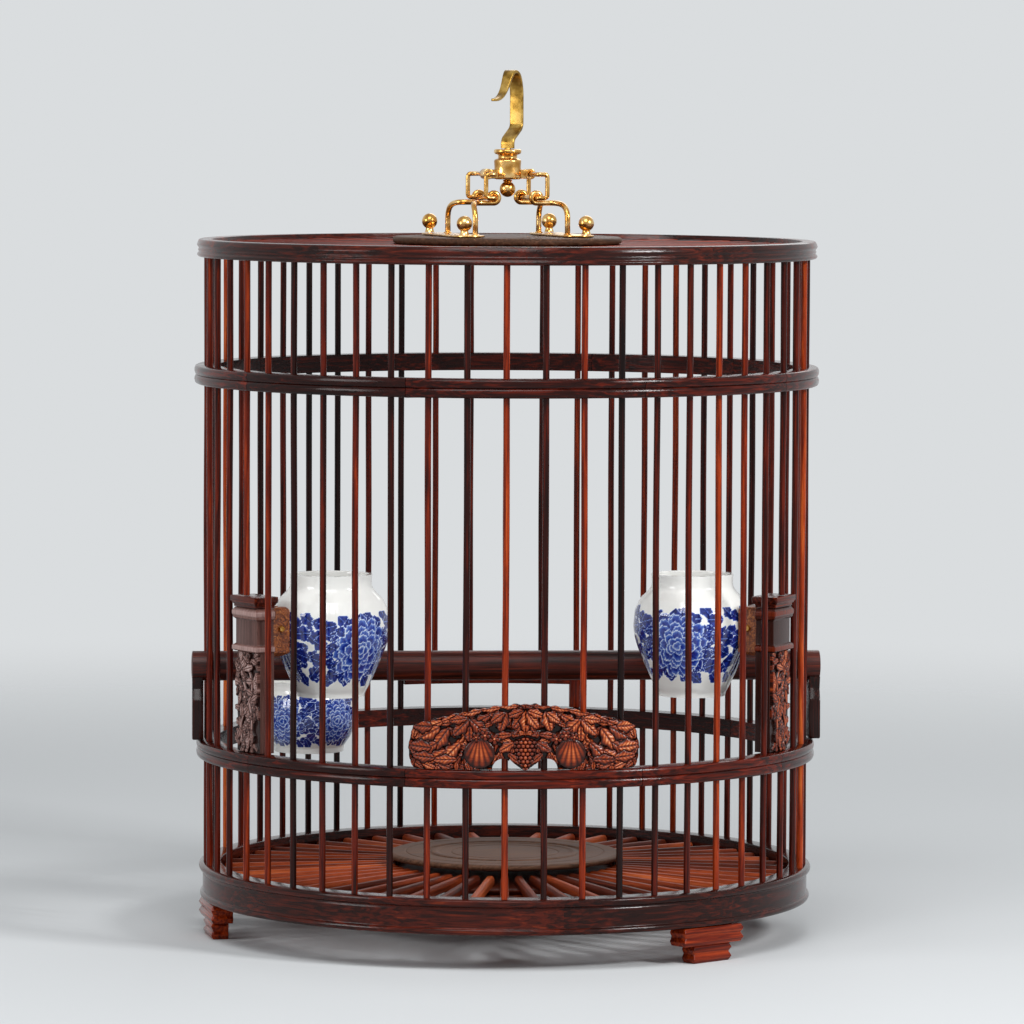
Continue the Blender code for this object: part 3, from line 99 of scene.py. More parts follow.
def timber(name, stops, spread, shine, relief, gloss):
    """Rosewood: bands along the grain shift its colour by the spread between the stops,
    and fine dark pores run with them, as deep as the relief. It shines between the two
    roughness values of shine, and gloss is the share of a varnish's reflection that its
    finish gives."""
    made, tree, shader = blank(name)
    grain = node(tree, "Attribute", attribute_name="grain").outputs["Vector"]
    tint = node(tree, "Attribute", attribute_name="tint").outputs["Fac"]
    across, along = 1 / BAND_WIDTH, 1 / BAND_LENGTH
    bands = node(tree, "VectorMath", [(0, grain), (1, (across, across, along))],
                 operation='MULTIPLY')
    band = node(tree, "TexNoise", [("Vector", bands.outputs[0]), ("Scale", 1.0),
                                   ("Detail", 4.0), ("Distortion", 0.6)]).outputs["Fac"]
    across, along = 1 / PORE_WIDTH, 1 / PORE_LENGTH
    pores = node(tree, "VectorMath", [(0, grain), (1, (across, across, along))],
                 operation='MULTIPLY')
    pore = node(tree, "TexNoise", [("Vector", pores.outputs[0]), ("Scale", 1.0),
                                   ("Detail", 2.0)]).outputs["Fac"]
    tone = node(tree, "MapRange", enumerate((band, 0.25, 0.75, -spread, spread)))
    tone = node(tree, "Math", [(0, tone.outputs[0]), (1, tint)], operation='ADD')
    colour = node(tree, "ValToRGB", [(0, tone.outputs[0])], stops)
    dark = node(tree, "MapRange", enumerate((pore, 0.30, 0.48, 0.62, 1.0)))
    colour = node(tree, "VectorMath", [(0, colour.outputs["Color"]),
                                       (1, dark.outputs[0])], operation='MULTIPLY')
    rough = node(tree, "MapRange", enumerate((band, 0.3, 0.7, *shine)))
    bump = node(tree, "Bump", [("Height", pore), ("Strength", relief), ("Distance", 0.0002)])
    shader.inputs["Specular IOR Level"].default_value = gloss
    tree.links.new(colour.outputs[0], shader.inputs["Base Color"])
    tree.links.new(rough.outputs[0], shader.inputs["Roughness"])
    tree.links.new(bump.outputs[0], shader.inputs["Normal"])
    return made


def eased(corners, reach, steps=4, closed=True):
    """Rounds an outline: each corner c becomes the parabola b(1-t)^2 + 2ct(1-t) + at^2
    between the points b and a that lie a reach before and after it."""
    here = np.asarray(corners, dtype=float)
    before, after = np.roll(here, 1, axis=0), np.roll(here, -1, axis=0)
    if not closed:
        before[0], after[-1] = here[0], here[-1]
    t = np.linspace(0, 1, steps)[None, :, None]
    ends = []
    for other in (before, after):
        way = other - here
        length = np.linalg.norm(way, axis=1, keepdims=True) + 1e-12
        ends.append((here + way * np.minimum(reach / length, 0.48))[:, None])
    curve = ends[0] * (1 - t) ** 2 + here[:, None] * 2 * t * (1 - t) + ends[1] * t ** 2
    curve = curve.reshape(-1, here.shape[1])
    return np.vstack((curve, curve[:1])) if closed else curve


def turned(profile, turns):
    """Carries points (radius, height) round Z: x = r sin a, y = -r cos a, z = h."""
    radius, height = np.asarray(profile, dtype=float).T
    return np.stack((np.outer(radius, np.sin(turns)), np.outer(radius, -np.cos(turns)),
                     np.outer(height, np.ones_like(turns))), axis=-1)


def swung(points, turn):
    """Turns points about Z: x' = x cos t - y sin t, y' = x sin t + y cos t."""
    x, y, z = np.moveaxis(np.asarray(points, dtype=float), -1, 0)
    return np.stack((x * cos(turn) - y * sin(turn), x * sin(turn) + y * cos(turn), z),
                    axis=-1)


def sawn(points, turn, along, seed, tint):
    """A patch cut from a straight board: its places are turned back to the front and
    put in the order across, across, along, and the seed picks its place in the tree."""
    order = {"x": (1, 2, 0), "y": (0, 2, 1), "z": (0, 1, 2)}[along]
    return points, swung(points, -turn)[..., order] + seed * TREE_SHIFT, tint


def glued_ring(profile, start, seeds, tints):
    """A ring of equal segments with straight grain in each."""
    patches = []
    for index in range(RING_SEGMENTS):
        low = start + index * 2 * pi / RING_SEGMENTS
        high = low + 2 * pi / RING_SEGMENTS
        points = turned(profile, np.linspace(low, high, SEGMENT_STEPS + 1))
        patches.append(sawn(points, (low + high) / 2, "x", seeds[index], tints[index]))
    return patches


def surface(name, patches, material, body, solid):
    """Welds grids of points into one mesh, where every four neighbours are a face.

    A patch is (points, grain, tint). Grain and tint go to the corners of the faces, so
    they may jump where two patches meet.
    """
    places, cells, grains, tints = [], [], [], []
    first = 0
    for points, grain, tint in patches:
        rows, columns = points.shape[:2]
        index = first + np.arange(rows * columns).reshape(rows, columns)
        cells.append(np.stack((index[:-1, :-1], index[:-1, 1:], index[1:, 1:],
                               index[1:, :-1]), axis=-1).reshape(-1, 4))
        places.append(points.reshape(-1, 3))
        grains.append(np.broadcast_to(grain, points.shape).reshape(-1, 3))
        tints.append(np.broadcast_to(tint, (rows, columns)).reshape(-1))
        first += rows * columns
    corners = np.concatenate(cells)
    mesh = bpy.data.meshes.new(name)
    mesh.vertices.add(first)
    mesh.vertices.foreach_set("co", np.concatenate(places).astype(np.float32).ravel())
    mesh.loops.add(corners.size)
    mesh.loops.foreach_set("vertex_index", corners.astype(np.int32).ravel())
    mesh.polygons.add(len(corners))
    mesh.polygons.foreach_set("loop_start", np.arange(0, corners.size, 4, dtype=np.int32))
    mesh.update(calc_edges=True)
    for label, kind, member, values in (("grain", 'FLOAT_VECTOR', "vector", grains),
                                        ("tint", 'FLOAT', "value", tints)):
        kept = mesh.attributes.new(label, kind, 'CORNER')
        kept.data.foreach_set(member, np.concatenate(values)[corners].astype(
            np.float32).ravel())
    shape = bmesh.new()
    shape.from_mesh(mesh)
    bmesh.ops.remove_doubles(shape, verts=shape.verts, dist=WELD)
    bmesh.ops.recalc_face_normals(shape, faces=shape.faces)
    shape.to_mesh(mesh)
    shape.free()
    mesh.shade_smooth()
    mesh.set_sharp_from_angle(angle=CREASE)
    mesh.materials.append(material)
    piece = bpy.data.objects.new(name, mesh)
    bpy.context.scene.collection.objects.link(piece)
    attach(piece, body)
    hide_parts(solid)


chance = np.random.default_rng(7)
DARK_STOPS = ((0.0, "#0e0403"), (0.35, "#270b06"), (0.65, "#54190b"), (1.0, "#913b17"))
dark_rosewood = timber("oiled_dark_rosewood", DARK_STOPS, 0.30, (0.12, 0.22), 0.25, 0.20)
surface("turned_base_ring",
        glued_ring(eased(BASE_PROFILE, 0.0005), PITCH,
                   chance.uniform(0, 9, RING_SEGMENTS),
                   chance.uniform(0.30, 0.50, RING_SEGMENTS)),
        dark_rosewood, "cage", "base_ring")

# Feet: three blocks of rosewood glued under the base ring. Each has a wide upper and a
# narrower lower part, and every part is cut into two sharp ridges that run all round.
# They are oiled like the ring, and show more of the wood's red.
FOOT_TURNS = {"foot_right": radians(38.4), "foot_left": radians(-81.6),
              "foot_rear": radians(158.4)}
FOOT_INNER, FOOT_MIDDLE, FOOT_OUTER = 0.1605, 0.1665, 0.1732
FOOT_HEIGHT, FOOT_STEP = 0.0199, 0.0013
FOOT_HALVES = (0.0145, 0.0145, 0.0225, 0.0225)
RED_STOPS = ((0.0, "#0f0403"), (0.30, "#2c0a05"), (0.55, "#641a08"), (0.80, "#a43a12"),
             (1.0, "#d0672a"))
red_rosewood = timber("oiled_red_rosewood", RED_STOPS, 0.26, (0.12, 0.22), 0.25, 0.17)


def block(levels, corner, steps=5):
    """An upright block at the front through levels (height, half width, inner, outer).

    Every level is a rectangle whose corners are quarter circles, and the first and the
    last level shrink to a point, which closes the block.
    """
    height, half, inner, outer = np.asarray(levels, dtype=float).T
    middle, deep = -(inner + outer) / 2, (outer - inner) / 2
    round_off = np.minimum(corner, np.minimum(half, deep))
    turns = np.concatenate([np.linspace(0, pi / 2, steps) + quarter * pi / 2
                            for quarter in range(4)] + [np.zeros(1)])
    side_x = np.append(np.repeat((1, -1, -1, 1), steps), 1)
    side_y = np.append(np.repeat((1, 1, -1, -1), steps), 1)
    x = np.outer(half - round_off, side_x) + np.outer(round_off, np.cos(turns))
    y = np.outer(deep - round_off, side_y) + np.outer(round_off, np.sin(turns))
    z = np.outer(height, np.ones_like(turns))
    return np.stack((x, y + middle[:, None], z), axis=-1)


ridge = FOOT_HEIGHT / 4
foot_levels = [(0, 0, FOOT_MIDDLE, FOOT_MIDDLE)]
for index, half in enumerate(FOOT_HALVES):
    back = FOOT_STEP if index < 2 else 0
    slim = (half - FOOT_STEP, FOOT_INNER + back, FOOT_OUTER - back - FOOT_STEP)
    full = (half, FOOT_INNER + back, FOOT_OUTER - back)
    if index in (0, 2):
        foot_levels.append((index * ridge, *slim))
    foot_levels.append(((index + 0.5) * ridge, *full))
    foot_levels.append(((index + 1) * ridge, *slim))
foot_levels.append((FOOT_HEIGHT, 0, FOOT_MIDDLE, FOOT_MIDDLE))
foot_shape = block(eased(foot_levels, 0.0004, closed=False), 0.0006)
for name, turn in FOOT_TURNS.items():
    surface("ridged_" + name,
            [sawn(swung(foot_shape, turn), turn, "x", 1 + turn, 0.62)],
            red_rosewood, "cage", name)

# Floor boards: two thin boards under the floor, let into the ring's ledge and halved
# over each other in the middle. Like all the floor they are sawn and left unpolished.
GAP = 0.0003  # between pieces that touch
FLOOR_TURN = -PITCH / 2
BOARD_HALF, BOARD_REACH = 0.012, 0.1585
BOARD_LOW, BOARD_HALFWAY, BOARD_TOP = 0.0259, 0.0283, 0.0307
LAP_REACH, LAP_SLOPE = BOARD_HALF + GAP, 0.0001
FLOOR_STOPS = ((0.0, "#2c100a"), (0.30, "#662611"), (0.55, "#9a401d"), (0.80, "#bd5c30"),
               (1.0, "#d98352"))
floor_rosewood = timber("sawn_floor_rosewood", FLOOR_STOPS, 0.22, (0.42, 0.58), 0.45,
                        0.12)
for name, turn, low, high in (
        ("floor_board_long", FLOOR_TURN, BOARD_LOW, BOARD_HALFWAY - GAP),
        ("floor_board_cross", FLOOR_TURN + pi / 2, BOARD_HALFWAY, BOARD_TOP)):
    stations = [(-BOARD_REACH, 0, -BOARD_HALFWAY, -BOARD_HALFWAY),
                (-BOARD_REACH, BOARD_HALF, -BOARD_TOP, -BOARD_LOW),
                (-LAP_REACH, BOARD_HALF, -BOARD_TOP, -BOARD_LOW),
                (-LAP_REACH + LAP_SLOPE, BOARD_HALF, -high, -low),
                (LAP_REACH - LAP_SLOPE, BOARD_HALF, -high, -low),
                (LAP_REACH, BOARD_HALF, -BOARD_TOP, -BOARD_LOW),
                (BOARD_REACH, BOARD_HALF, -BOARD_TOP, -BOARD_LOW),
                (BOARD_REACH, 0, -BOARD_HALFWAY, -BOARD_HALFWAY)]
    board = swung(block(stations, 0.0004)[..., (0, 2, 1)], turn)
    surface("halved_" + name, [sawn(board, turn, "y", 3 + turn, 0.30)], floor_rosewood,
            "cage", name)

# Floor rods: fifty split rods that run from the ledge to the hub, where their noses are
# rounded, with a slight rise to the middle. They are glued on a thin disc, and they are
# paler than the rest of the cage because nobody oils a floor.
ROD_HALF = 0.0025
ROD_OUTER, ROD_NOSE = 0.1612, 0.0625
ROD_LOW, ROD_RISE = 0.0310, 0.0030
ROD_SECTION = ((-1.0, -1.0), (1.0, -1.0), (1.0, 0.35), (0.55, 1.0), (-0.55, 1.0),
               (-1.0, 0.35))
HUB_PROFILE = ((0.0, 0.0343), (0.0600, 0.0343), (0.0845, 0.0336), (0.0850, 0.0330),
               (0.0840, 0.0310), (0.0, 0.0310))


def run_of(path):
    """How far along its path each point lies: the sum of the steps before it."""
    return np.append(0, np.cumsum(np.linalg.norm(np.diff(path, axis=0), axis=1)))


def carried(section, path, side, nose=0.0, size=1.0, closed=False):
    """Carries a closed section (across, up) along a path.

    With t the path's direction, across is the part of side that is square to t, and up
    is t x across. An open end is closed by a nose: at the tilt a it lies
    nose (1 - cos a) inside the end and is sin a of the full size. The grain is the
    place in the section and the run along the path.
    """
    path, side = np.asarray(path, dtype=float), np.asarray(side, dtype=float)
    if closed:
        way = np.roll(path, -1, axis=0) - np.roll(path, 1, axis=0)
    else:
        way = np.gradient(path, axis=0)
    way /= np.linalg.norm(way, axis=1, keepdims=True)
    size = np.broadcast_to(size, (len(path), 2))
    if closed:
        path, way, size = (np.vstack((part, part[:1])) for part in (path, way, size))
    else:
        tilt = np.linspace(0, pi / 2, 6 if nose else 2)[:, None]
        inset = nose * (1 - np.cos(tilt))
        path = np.vstack((path[0] + way[0] * inset, path[1:-1],
                          (path[-1] - way[-1] * inset)[::-1]))
        size = np.vstack((size[0] * np.sin(tilt), size[1:-1],
                          (size[-1] * np.sin(tilt))[::-1]))
        way = np.vstack((np.repeat(way[:1], len(tilt), axis=0), way[1:-1],
                         np.repeat(way[-1:], len(tilt), axis=0)))
    across = side - way * (way @ side)[:, None]
    across /= np.linalg.norm(across, axis=1, keepdims=True)
    up = np.cross(way, across)
    u, v = size[:, :1] * section[:, 0], size[:, 1:] * section[:, 1]
    points = path[:, None] + u[..., None] * across[:, None] + v[..., None] * up[:, None]
    run = np.broadcast_to(run_of(path)[:, None], u.shape)
    return points, np.stack((u, v, run), axis=-1)


def circle(radius, sides):
    """A closed circle: (r cos a, r sin a)."""
    turns = np.linspace(0, 2 * pi, sides + 1)
    return np.stack((radius * np.cos(turns), radius * np.sin(turns)), axis=-1)


def lathed(outline, sides):
    """A turned piece: its outline carried all the way round in a number of sides."""
    return turned(outline, np.linspace(0, 2 * pi, sides + 1))


rod_section = eased(np.array(ROD_SECTION) * ROD_HALF, 0.0004, 3)
radius = np.linspace(ROD_NOSE, ROD_OUTER, 5)
lift = ROD_LOW + ROD_HALF + ROD_RISE * (ROD_OUTER - radius) / (ROD_OUTER - ROD_NOSE)
rod, grain = carried(rod_section, np.stack((0 * radius, -radius, lift), axis=-1),
                     (1, 0, 0), 0.0022)
# The disc under the rods gets a very low tint: painted shade for the shadow under the rods.
patches = [sawn(lathed(eased(HUB_PROFILE, 0.0003, closed=False), 96), 0, "x", 4.2, 0.15)]
for number in range(BARS):
    patches.append((swung(rod, (number + 0.5) * PITCH), grain + number * TREE_SHIFT,
                    chance.uniform(0.16, 0.72)))
surface("split_floor_rods", patches, floor_rosewood, "cage",
        "floor_rods")

# Platform: a turned disc of old rosewood on a short neck in the middle of the floor. It
# has a broad ring round a sunk groove and a raised middle, all worn to a dull brown.
PLATFORM_PROFILE = ((0.0, 0.0446), (0.0300, 0.0446), (0.0306, 0.0441), (0.0312, 0.0446),
                    (0.0372, 0.0446), (0.0392, 0.0452), (0.0416, 0.0450),
                    (0.0425, 0.0441), (0.0450, 0.0441), (0.0460, 0.0451),
                    (0.0560, 0.0451), (0.0565, 0.0447), (0.0570, 0.0451),
                    (0.0643, 0.0450), (0.0663, 0.0441), (0.0665, 0.0430),
                    (0.0655, 0.0417), (0.0590, 0.0415), (0.0240, 0.0415),
                    (0.0240, 0.0393), (0.0, 0.0393))
WORN_STOPS = ((0.0, "#241610"), (0.35, "#483022"), (0.65, "#6e4d3b"), (1.0, "#96715a"))
worn_rosewood = timber("worn_turned_rosewood", WORN_STOPS, 0.24, (0.46, 0.60), 0.35,
                       0.10)
surface("turned_platform",
        [sawn(lathed(eased(PLATFORM_PROFILE, 0.0006, closed=False), 128), 0.4, "x", 5.3,
              0.50)],
        worn_rosewood, "cage", "floor_platform")

# Bars and hoops: bars of split rosewood, drawn round through a steel plate, pass through
# both hoops into sockets in the rings, and are cut short at the posts and the door. The
# hoops are sawn segments with two beads on their outer side, joined between the bars.
BAR_LOW, BAR_HIGH, BAR_RADIUS = 0.0343, 0.3871, 0.0018
BAR_WAVE, BAR_SUNK = 0.00022, 0.0008
HOOP_INNER, HOOP_GROOVE = 0.1635, 0.0011
LOWER_HOOP = (0.1006, 0.1107, 0.1760)
UPPER_HOOP = (0.3124, 0.3227, 0.17725)
CAP_TOP = 0.1980
POST_BARS = (8, 41)
DOOR_BARS = range(23, 27)
BAYS = {"bars_front": (-3, 6), "bars_right_front": (3, 5), "bars_right_side": (8, 4),
        "bars_right_back": (12, 5), "bars_right_rear": (17, 5), "bars_door": (22, 6),
        "bars_left_rear": (28, 5), "bars_left_back": (33, 5), "bars_left_side": (38, 4),
        "bars_left_front": (42, 5)}


def hoop_profile(low, high, outer):
    """The hoop's section, with a groove of 1.1 mm between two round beads."""
    tall = high - low
    beads = np.linspace(0, 1, 25)
    swell = np.abs(np.sin(2 * pi * beads)) ** 0.55
    edge = np.stack((outer - HOOP_GROOVE + HOOP_GROOVE * swell, low + tall * beads),
                    axis=-1)
    edge[(0, -1), 0] -= 0.0003
    inner = ((HOOP_INNER, high), (HOOP_INNER, low))
    return np.vstack((edge, eased(inner, 0.0004, closed=False), edge[:1]))


def bar(number, low, high):
    """A drawn bar, hardly bent: its axis strays by a sum of two slow sine waves."""
    turn = (number + 0.5) * PITCH
    z = np.linspace(low, high, 22)
    waves = chance.uniform(0, 2 * pi, 4)
    fade = np.sin(pi * (z - low) / (high - low))
    stray = BAR_WAVE * fade * np.sin(z * 31 + waves[0])
    drift = BAR_WAVE * fade * np.sin(z * 23 + waves[1])
    x = (BAR_CIRCLE + stray) * sin(turn) + drift * cos(turn)
    y = -(BAR_CIRCLE + stray) * cos(turn) + drift * sin(turn)
    points, grain = carried(circle(BAR_RADIUS, 18), np.stack((x, y, z), axis=-1),
                            (cos(turn), sin(turn), 0), 0.0002)
    return points, grain + (number % BARS + 11) * TREE_SHIFT, bar_tints[number % BARS]


def end_faces(points):
    """The flat ends of a stretch of ring, each drawn from its outline to its middle."""
    return [np.stack((points[:, side], np.broadcast_to(
        points[:-1, side].mean(axis=0), points[:, side].shape)), axis=1)
        for side in (0, -1)]


bar_tints = np.clip(chance.normal(0.44, 0.20, BARS), 0.10, 0.85)
hoops = [hoop_profile(*LOWER_HOOP), hoop_profile(*UPPER_HOOP)]
joint = GAP / 2 / BAR_CIRCLE
for name, (start, count) in BAYS.items():
    patches = []
    for number in range(start, start + count):
        place = number % BARS
        if place in DOOR_BARS:
            patches.append(bar(number, BAR_LOW, LOWER_HOOP[1] - BAR_SUNK))
            patches.append(bar(number, UPPER_HOOP[0] + BAR_SUNK, BAR_HIGH))
        elif place in POST_BARS:
            patches.append(bar(number, BAR_LOW, LOWER_HOOP[1] - BAR_SUNK))
            patches.append(bar(number, CAP_TOP + GAP, BAR_HIGH))
        else:
            patches.append(bar(number, BAR_LOW, BAR_HIGH))
    for profile in hoops:
        turns = np.linspace(start * PITCH + joint, (start + count) * PITCH - joint,
                            5 * count + 1)
        points = turned(profile, turns)
        seed, tint = chance.uniform(20, 40), chance.uniform(0.18, 0.42)
        patches += [sawn(part, turns.mean(), "x", seed, tint)
                    for part in (points, *end_faces(points))]
    surface("drawn_" + name, patches, red_rosewood, "cage", name)

# Top ring: glued up and turned like the base ring, with three polished reeds round its
# outer side and a ledge inside that the slats lie on.
TOP_PROFILE = ((0.1675, 0.3940), (0.1742, 0.3940), (0.1750, 0.3934), (0.1760, 0.3908),
               (0.1747, 0.3889), (0.1754, 0.3880), (0.1747, 0.3871), (0.1760, 0.3855),
               (0.1752, 0.3842), (0.1742, 0.3840), (0.1635, 0.3840), (0.1635, 0.3886),
               (0.1675, 0.3886))
surface("reeded_top_ring",
        glued_ring(eased(TOP_PROFILE, 0.0006), 0, chance.uniform(40, 60, RING_SEGMENTS),
                   chance.uniform(0.34, 0.62, RING_SEGMENTS)),
        dark_rosewood, "cage", "top_ring")

# Top slats: fifty flat slats that run from the ledge to a hub, one behind each bar, all
# in one plane. They are planed, with softened edges, and redder than the ring.
SLAT_LOW, SLAT_HIGH = 0.3889, 0.3915
SLAT_HUB, SLAT_REACH, SLAT_HALF = 0.060, 0.1668, 0.003
HUB_DISC = ((0.0, SLAT_HIGH), (SLAT_HUB, SLAT_HIGH), (SLAT_HUB, SLAT_LOW),
            (0.0, SLAT_LOW))


def oblong(left, right, low, high, reach, steps=4):
    """A closed rectangle with its corners rounded by a reach."""
    return eased(((left, low), (right, low), (right, high), (left, high)), reach, steps)


thick = (SLAT_HIGH - SLAT_LOW) / 2
radius = np.linspace(SLAT_HUB - 0.001, SLAT_REACH, 4)
slat, grain = carried(oblong(-SLAT_HALF, SLAT_HALF, -thick, thick, 0.0005, 3),
                      np.stack((0 * radius, -radius, 0 * radius + SLAT_LOW + thick),
                               axis=-1), (1, 0, 0))
patches = [sawn(lathed(eased(HUB_DISC, 0.0003, closed=False), 96), 0.2, "x", 61, 0.5)]
for number in range(BARS):
    patches.append((swung(slat, (number + 0.5) * PITCH),
                    grain + (number + 70) * TREE_SHIFT, chance.uniform(0.34, 0.70)))
planed_rosewood = timber("planed_red_rosewood", RED_STOPS, 0.26, (0.42, 0.56), 0.30, 0.05)
surface("planed_top_slats", patches, planed_rosewood, "cage", "top_slats")

# Top disc: a turned disc that covers the slats' hub and takes the claw. Its face is
# scraped flat and its edge is rounded over.
DISC_PROFILE = ((0.0, 0.3958), (0.0636, 0.3958), (0.0650, 0.3948), (0.0650, 0.3928),
                (0.0638, 0.3918), (0.0, 0.3918))
surface("turned_top_disc",
        [sawn(lathed(eased(DISC_PROFILE, 0.0008, closed=False), 128), 1.1, "x", 130, 0.34)],
        worn_rosewood, "cage", "top_disc")

# Posts: a block on each side stands on the lower hoop in place of one bar. Its lower
# field is carved with a branch in blossom, and the block above has a plain sunk field.
POST_TURN = 8.5 * PITCH
POST_LOW, PANEL_TOP, POST_TOP = 0.1110, 0.1670, 0.1915
POST_HALF, POST_INNER, POST_OUTER = 0.0125, 0.1595, 0.1710
POST_PROUD, FIELD_IN, FIELD_SUNK = 0.0010, 0.0016, 0.0018
PANEL_SUNK, PANEL_DEEP, PANEL_BACK = 0.0024, 0.0022, 0.0035
SMALL_LEAVES, LARGE_LEAVES, BLOSSOMS, PETALS = 60, 30, 10, 5
# The carving's tint is painted light: what stands out is painted pale, a highlight along with
# the wear of hands, and shines, and the ground is painted dark, shade along with oil that
# gathers there. The left post's greyer copy of the wood is a painted cool reflection and
# dimmer light.
CARVED_STOPS = ((0.0, "#0d0402"), (0.25, "#381107"), (0.50, "#7b2a10"), (0.75, "#b85829"),
                (1.0, "#f0ab7a"))
carved_rosewood = timber("carved_rosewood", CARVED_STOPS, 0.08, (0.16, 0.26), 0.20, 0.26)
REFLECTION_GREY_STOPS = ((0.0, "#150a09"), (0.25, "#40241f"), (0.50, "#7a554d"), (0.75, "#a98983"),
              (1.0, "#d6c4c0"))
reflection_greyed_rosewood = timber("reflection_greyed_carved_rosewood", REFLECTION_GREY_STOPS, 0.08, (0.18, 0.28), 0.20,
                         0.24)


def leaf(x, y, place, turn, length, width):
    """Where a leaf lies, and its rise: a dome over a pointed oval, with a groove along
    its middle and slanting veins. p runs from stalk to tip and q across."""
    p = (x - place[0]) * cos(turn) + (y - place[1]) * sin(turn)
    q = (y - place[1]) * cos(turn) - (x - place[0]) * sin(turn)
    share = np.clip(p / length, 0, 1)
    half = width * np.sin(pi * share) ** 0.75 * (1 + 0.14 * np.sin(5 * pi * share))
    dome = np.sqrt(np.clip(1 - (q / np.maximum(half, 1e-9)) ** 2, 0, 1))
    veins = np.abs(np.sin(pi * (p - 0.9 * np.abs(q)) / (0.16 * length)))
    groove = np.exp(-(q / (0.13 * width)) ** 2)
    rise = dome * (0.80 + 0.20 * veins) * (1 - 0.40 * groove)
    return (p > 0) & (p < length) & (np.abs(q) < half), rise


def laid(relief, level, inside, rise, highlight_and_wear):
    """Lays a shape over a relief of two layers, its height and its painted light. The shape
    hides what lies below it. Its high middle is painted bright, a highlight along with
    rubbed wear, and its rim is painted dark as shade."""
    height, painted_light_and_wear = relief
    height[inside] = (level + 0.42 * rise)[inside]
    painted_light_and_wear[inside] = (0.04 + 0.80 * highlight_and_wear * rise ** 2.2)[inside]


def blossom(x, y, place, size, turn):
    """A flower's height: petals that are domes round a ring, and a round eye."""
    reach = np.hypot(x - place[0], y - place[1]) / size
    angle = np.arctan2(y - place[1], x - place[0]) + turn
    petal = np.abs(np.cos(angle * PETALS / 2))
    edge = 0.62 + 0.38 * petal
    cup = np.sqrt(np.clip(1 - (reach / edge) ** 2, 0, 1)) * (0.55 + 0.45 * reach)
    split = np.clip(petal * 3, 0.35, 1)
    eye = np.sqrt(np.clip(1 - (reach / 0.24) ** 2, 0, 1))
    return np.maximum(cup * split, eye)


def shell(front, back):
    """Two grids of the same size closed round their edge into one body: the front gets
    one more row and column all round, which lie on the edge of the back."""
    wrapped, rim = (np.pad(grid, ((1, 1), (1, 1), (0, 0)), mode="edge")
                    for grid in (front, back))
    for edge in ((0, ...), (-1, ...), (slice(None), 0), (slice(None), -1)):
        wrapped[edge] = rim[edge]
    return wrapped, back


panel_half = POST_HALF - GAP
panel_low, panel_high = POST_LOW + GAP, PANEL_TOP - GAP
x, z = np.meshgrid(np.linspace(-panel_half, panel_half, 130),
                   np.linspace(panel_low, panel_high, 290))
marks = np.random.default_rng(12)
# The ground's low tint is painted shade, along with oil that gathers in the carving.
relief = np.array((0.06 + 0.05 * np.sin(x / 0.0011) * np.sin(z / 0.0016),
                   np.full_like(x, 0.09)))
for index in range(SMALL_LEAVES):
    foot = (marks.uniform(-0.0115, 0.0110), marks.uniform(panel_low, panel_high))
    laid(relief, 0.10 + 0.004 * index, *leaf(
        x, z, foot, marks.uniform(0, 2 * pi), marks.uniform(0.0060, 0.0095),
        marks.uniform(0.0015, 0.0024)), marks.uniform(0.7, 1.1))
for reach, wave, width in ((0.0058, 0.0105, 0.0014), (-0.0062, 0.0078, 0.0010)):
    stem = (x - reach * np.sin((z - panel_low) / wave)) / width
    laid(relief, 0.42, np.abs(stem) < 1, np.sqrt(np.clip(1 - stem ** 2, 0, 1)), 0.9)
for index in range(LARGE_LEAVES):
    foot = (marks.uniform(-0.0095, 0.0090), panel_low + 0.001 + index * 0.00174)
    laid(relief, 0.45 + 0.003 * index, *leaf(
        x, z, foot, marks.uniform(0, 2 * pi), marks.uniform(0.0070, 0.0105),
        marks.uniform(0.0019, 0.0029)), marks.uniform(0.9, 1.25))
for index in range(BLOSSOMS):
    place = (marks.uniform(-0.0080, 0.0080), panel_low + 0.0040 + index * 0.0053)
    flower = blossom(x, z, place, marks.uniform(0.0026, 0.0040), index)
    laid(relief, 0.62, flower > 0, flower, 1.15)
panel_rise, panel_shade = relief
panel = np.stack((x, -(POST_OUTER - PANEL_SUNK + PANEL_DEEP * panel_rise), z), axis=-1)
panel_back = np.stack((x, np.full_like(x, -(POST_OUTER - PANEL_BACK)), z), axis=-1)
shade = np.pad(panel_shade, 1, mode="edge")
mid = (POST_INNER + POST_OUTER) / 2
face, wide = POST_OUTER + POST_PROUD, POST_HALF + POST_PROUD
body = [(POST_LOW, 0, mid, mid), (POST_LOW, POST_HALF, POST_INNER, POST_OUTER - 0.0026),
        (PANEL_TOP, POST_HALF, POST_INNER, POST_OUTER - 0.0026),
        (PANEL_TOP, POST_HALF, POST_INNER, POST_OUTER - 0.0004),
        (PANEL_TOP + 0.0008, wide, POST_INNER, face),
        (PANEL_TOP + 0.0030, wide, POST_INNER, face),
        (PANEL_TOP + 0.0042, wide - FIELD_IN, POST_INNER, face - FIELD_SUNK),
        (POST_TOP - 0.0068, wide - FIELD_IN, POST_INNER, face - FIELD_SUNK),
        (POST_TOP - 0.0058, wide - 0.0003, POST_INNER, face - 0.0005),
        (POST_TOP - 0.0048, wide - 0.0003, POST_INNER, face - 0.0005),
        (POST_TOP - 0.0040, wide, POST_INNER, face),
        (POST_TOP - 0.0020, wide, POST_INNER, face),
        (POST_TOP, wide - 0.0014, POST_INNER, face - 0.0014), (POST_TOP, 0, mid, mid)]
shape = block(eased(body, 0.0003, closed=False), 0.0005)
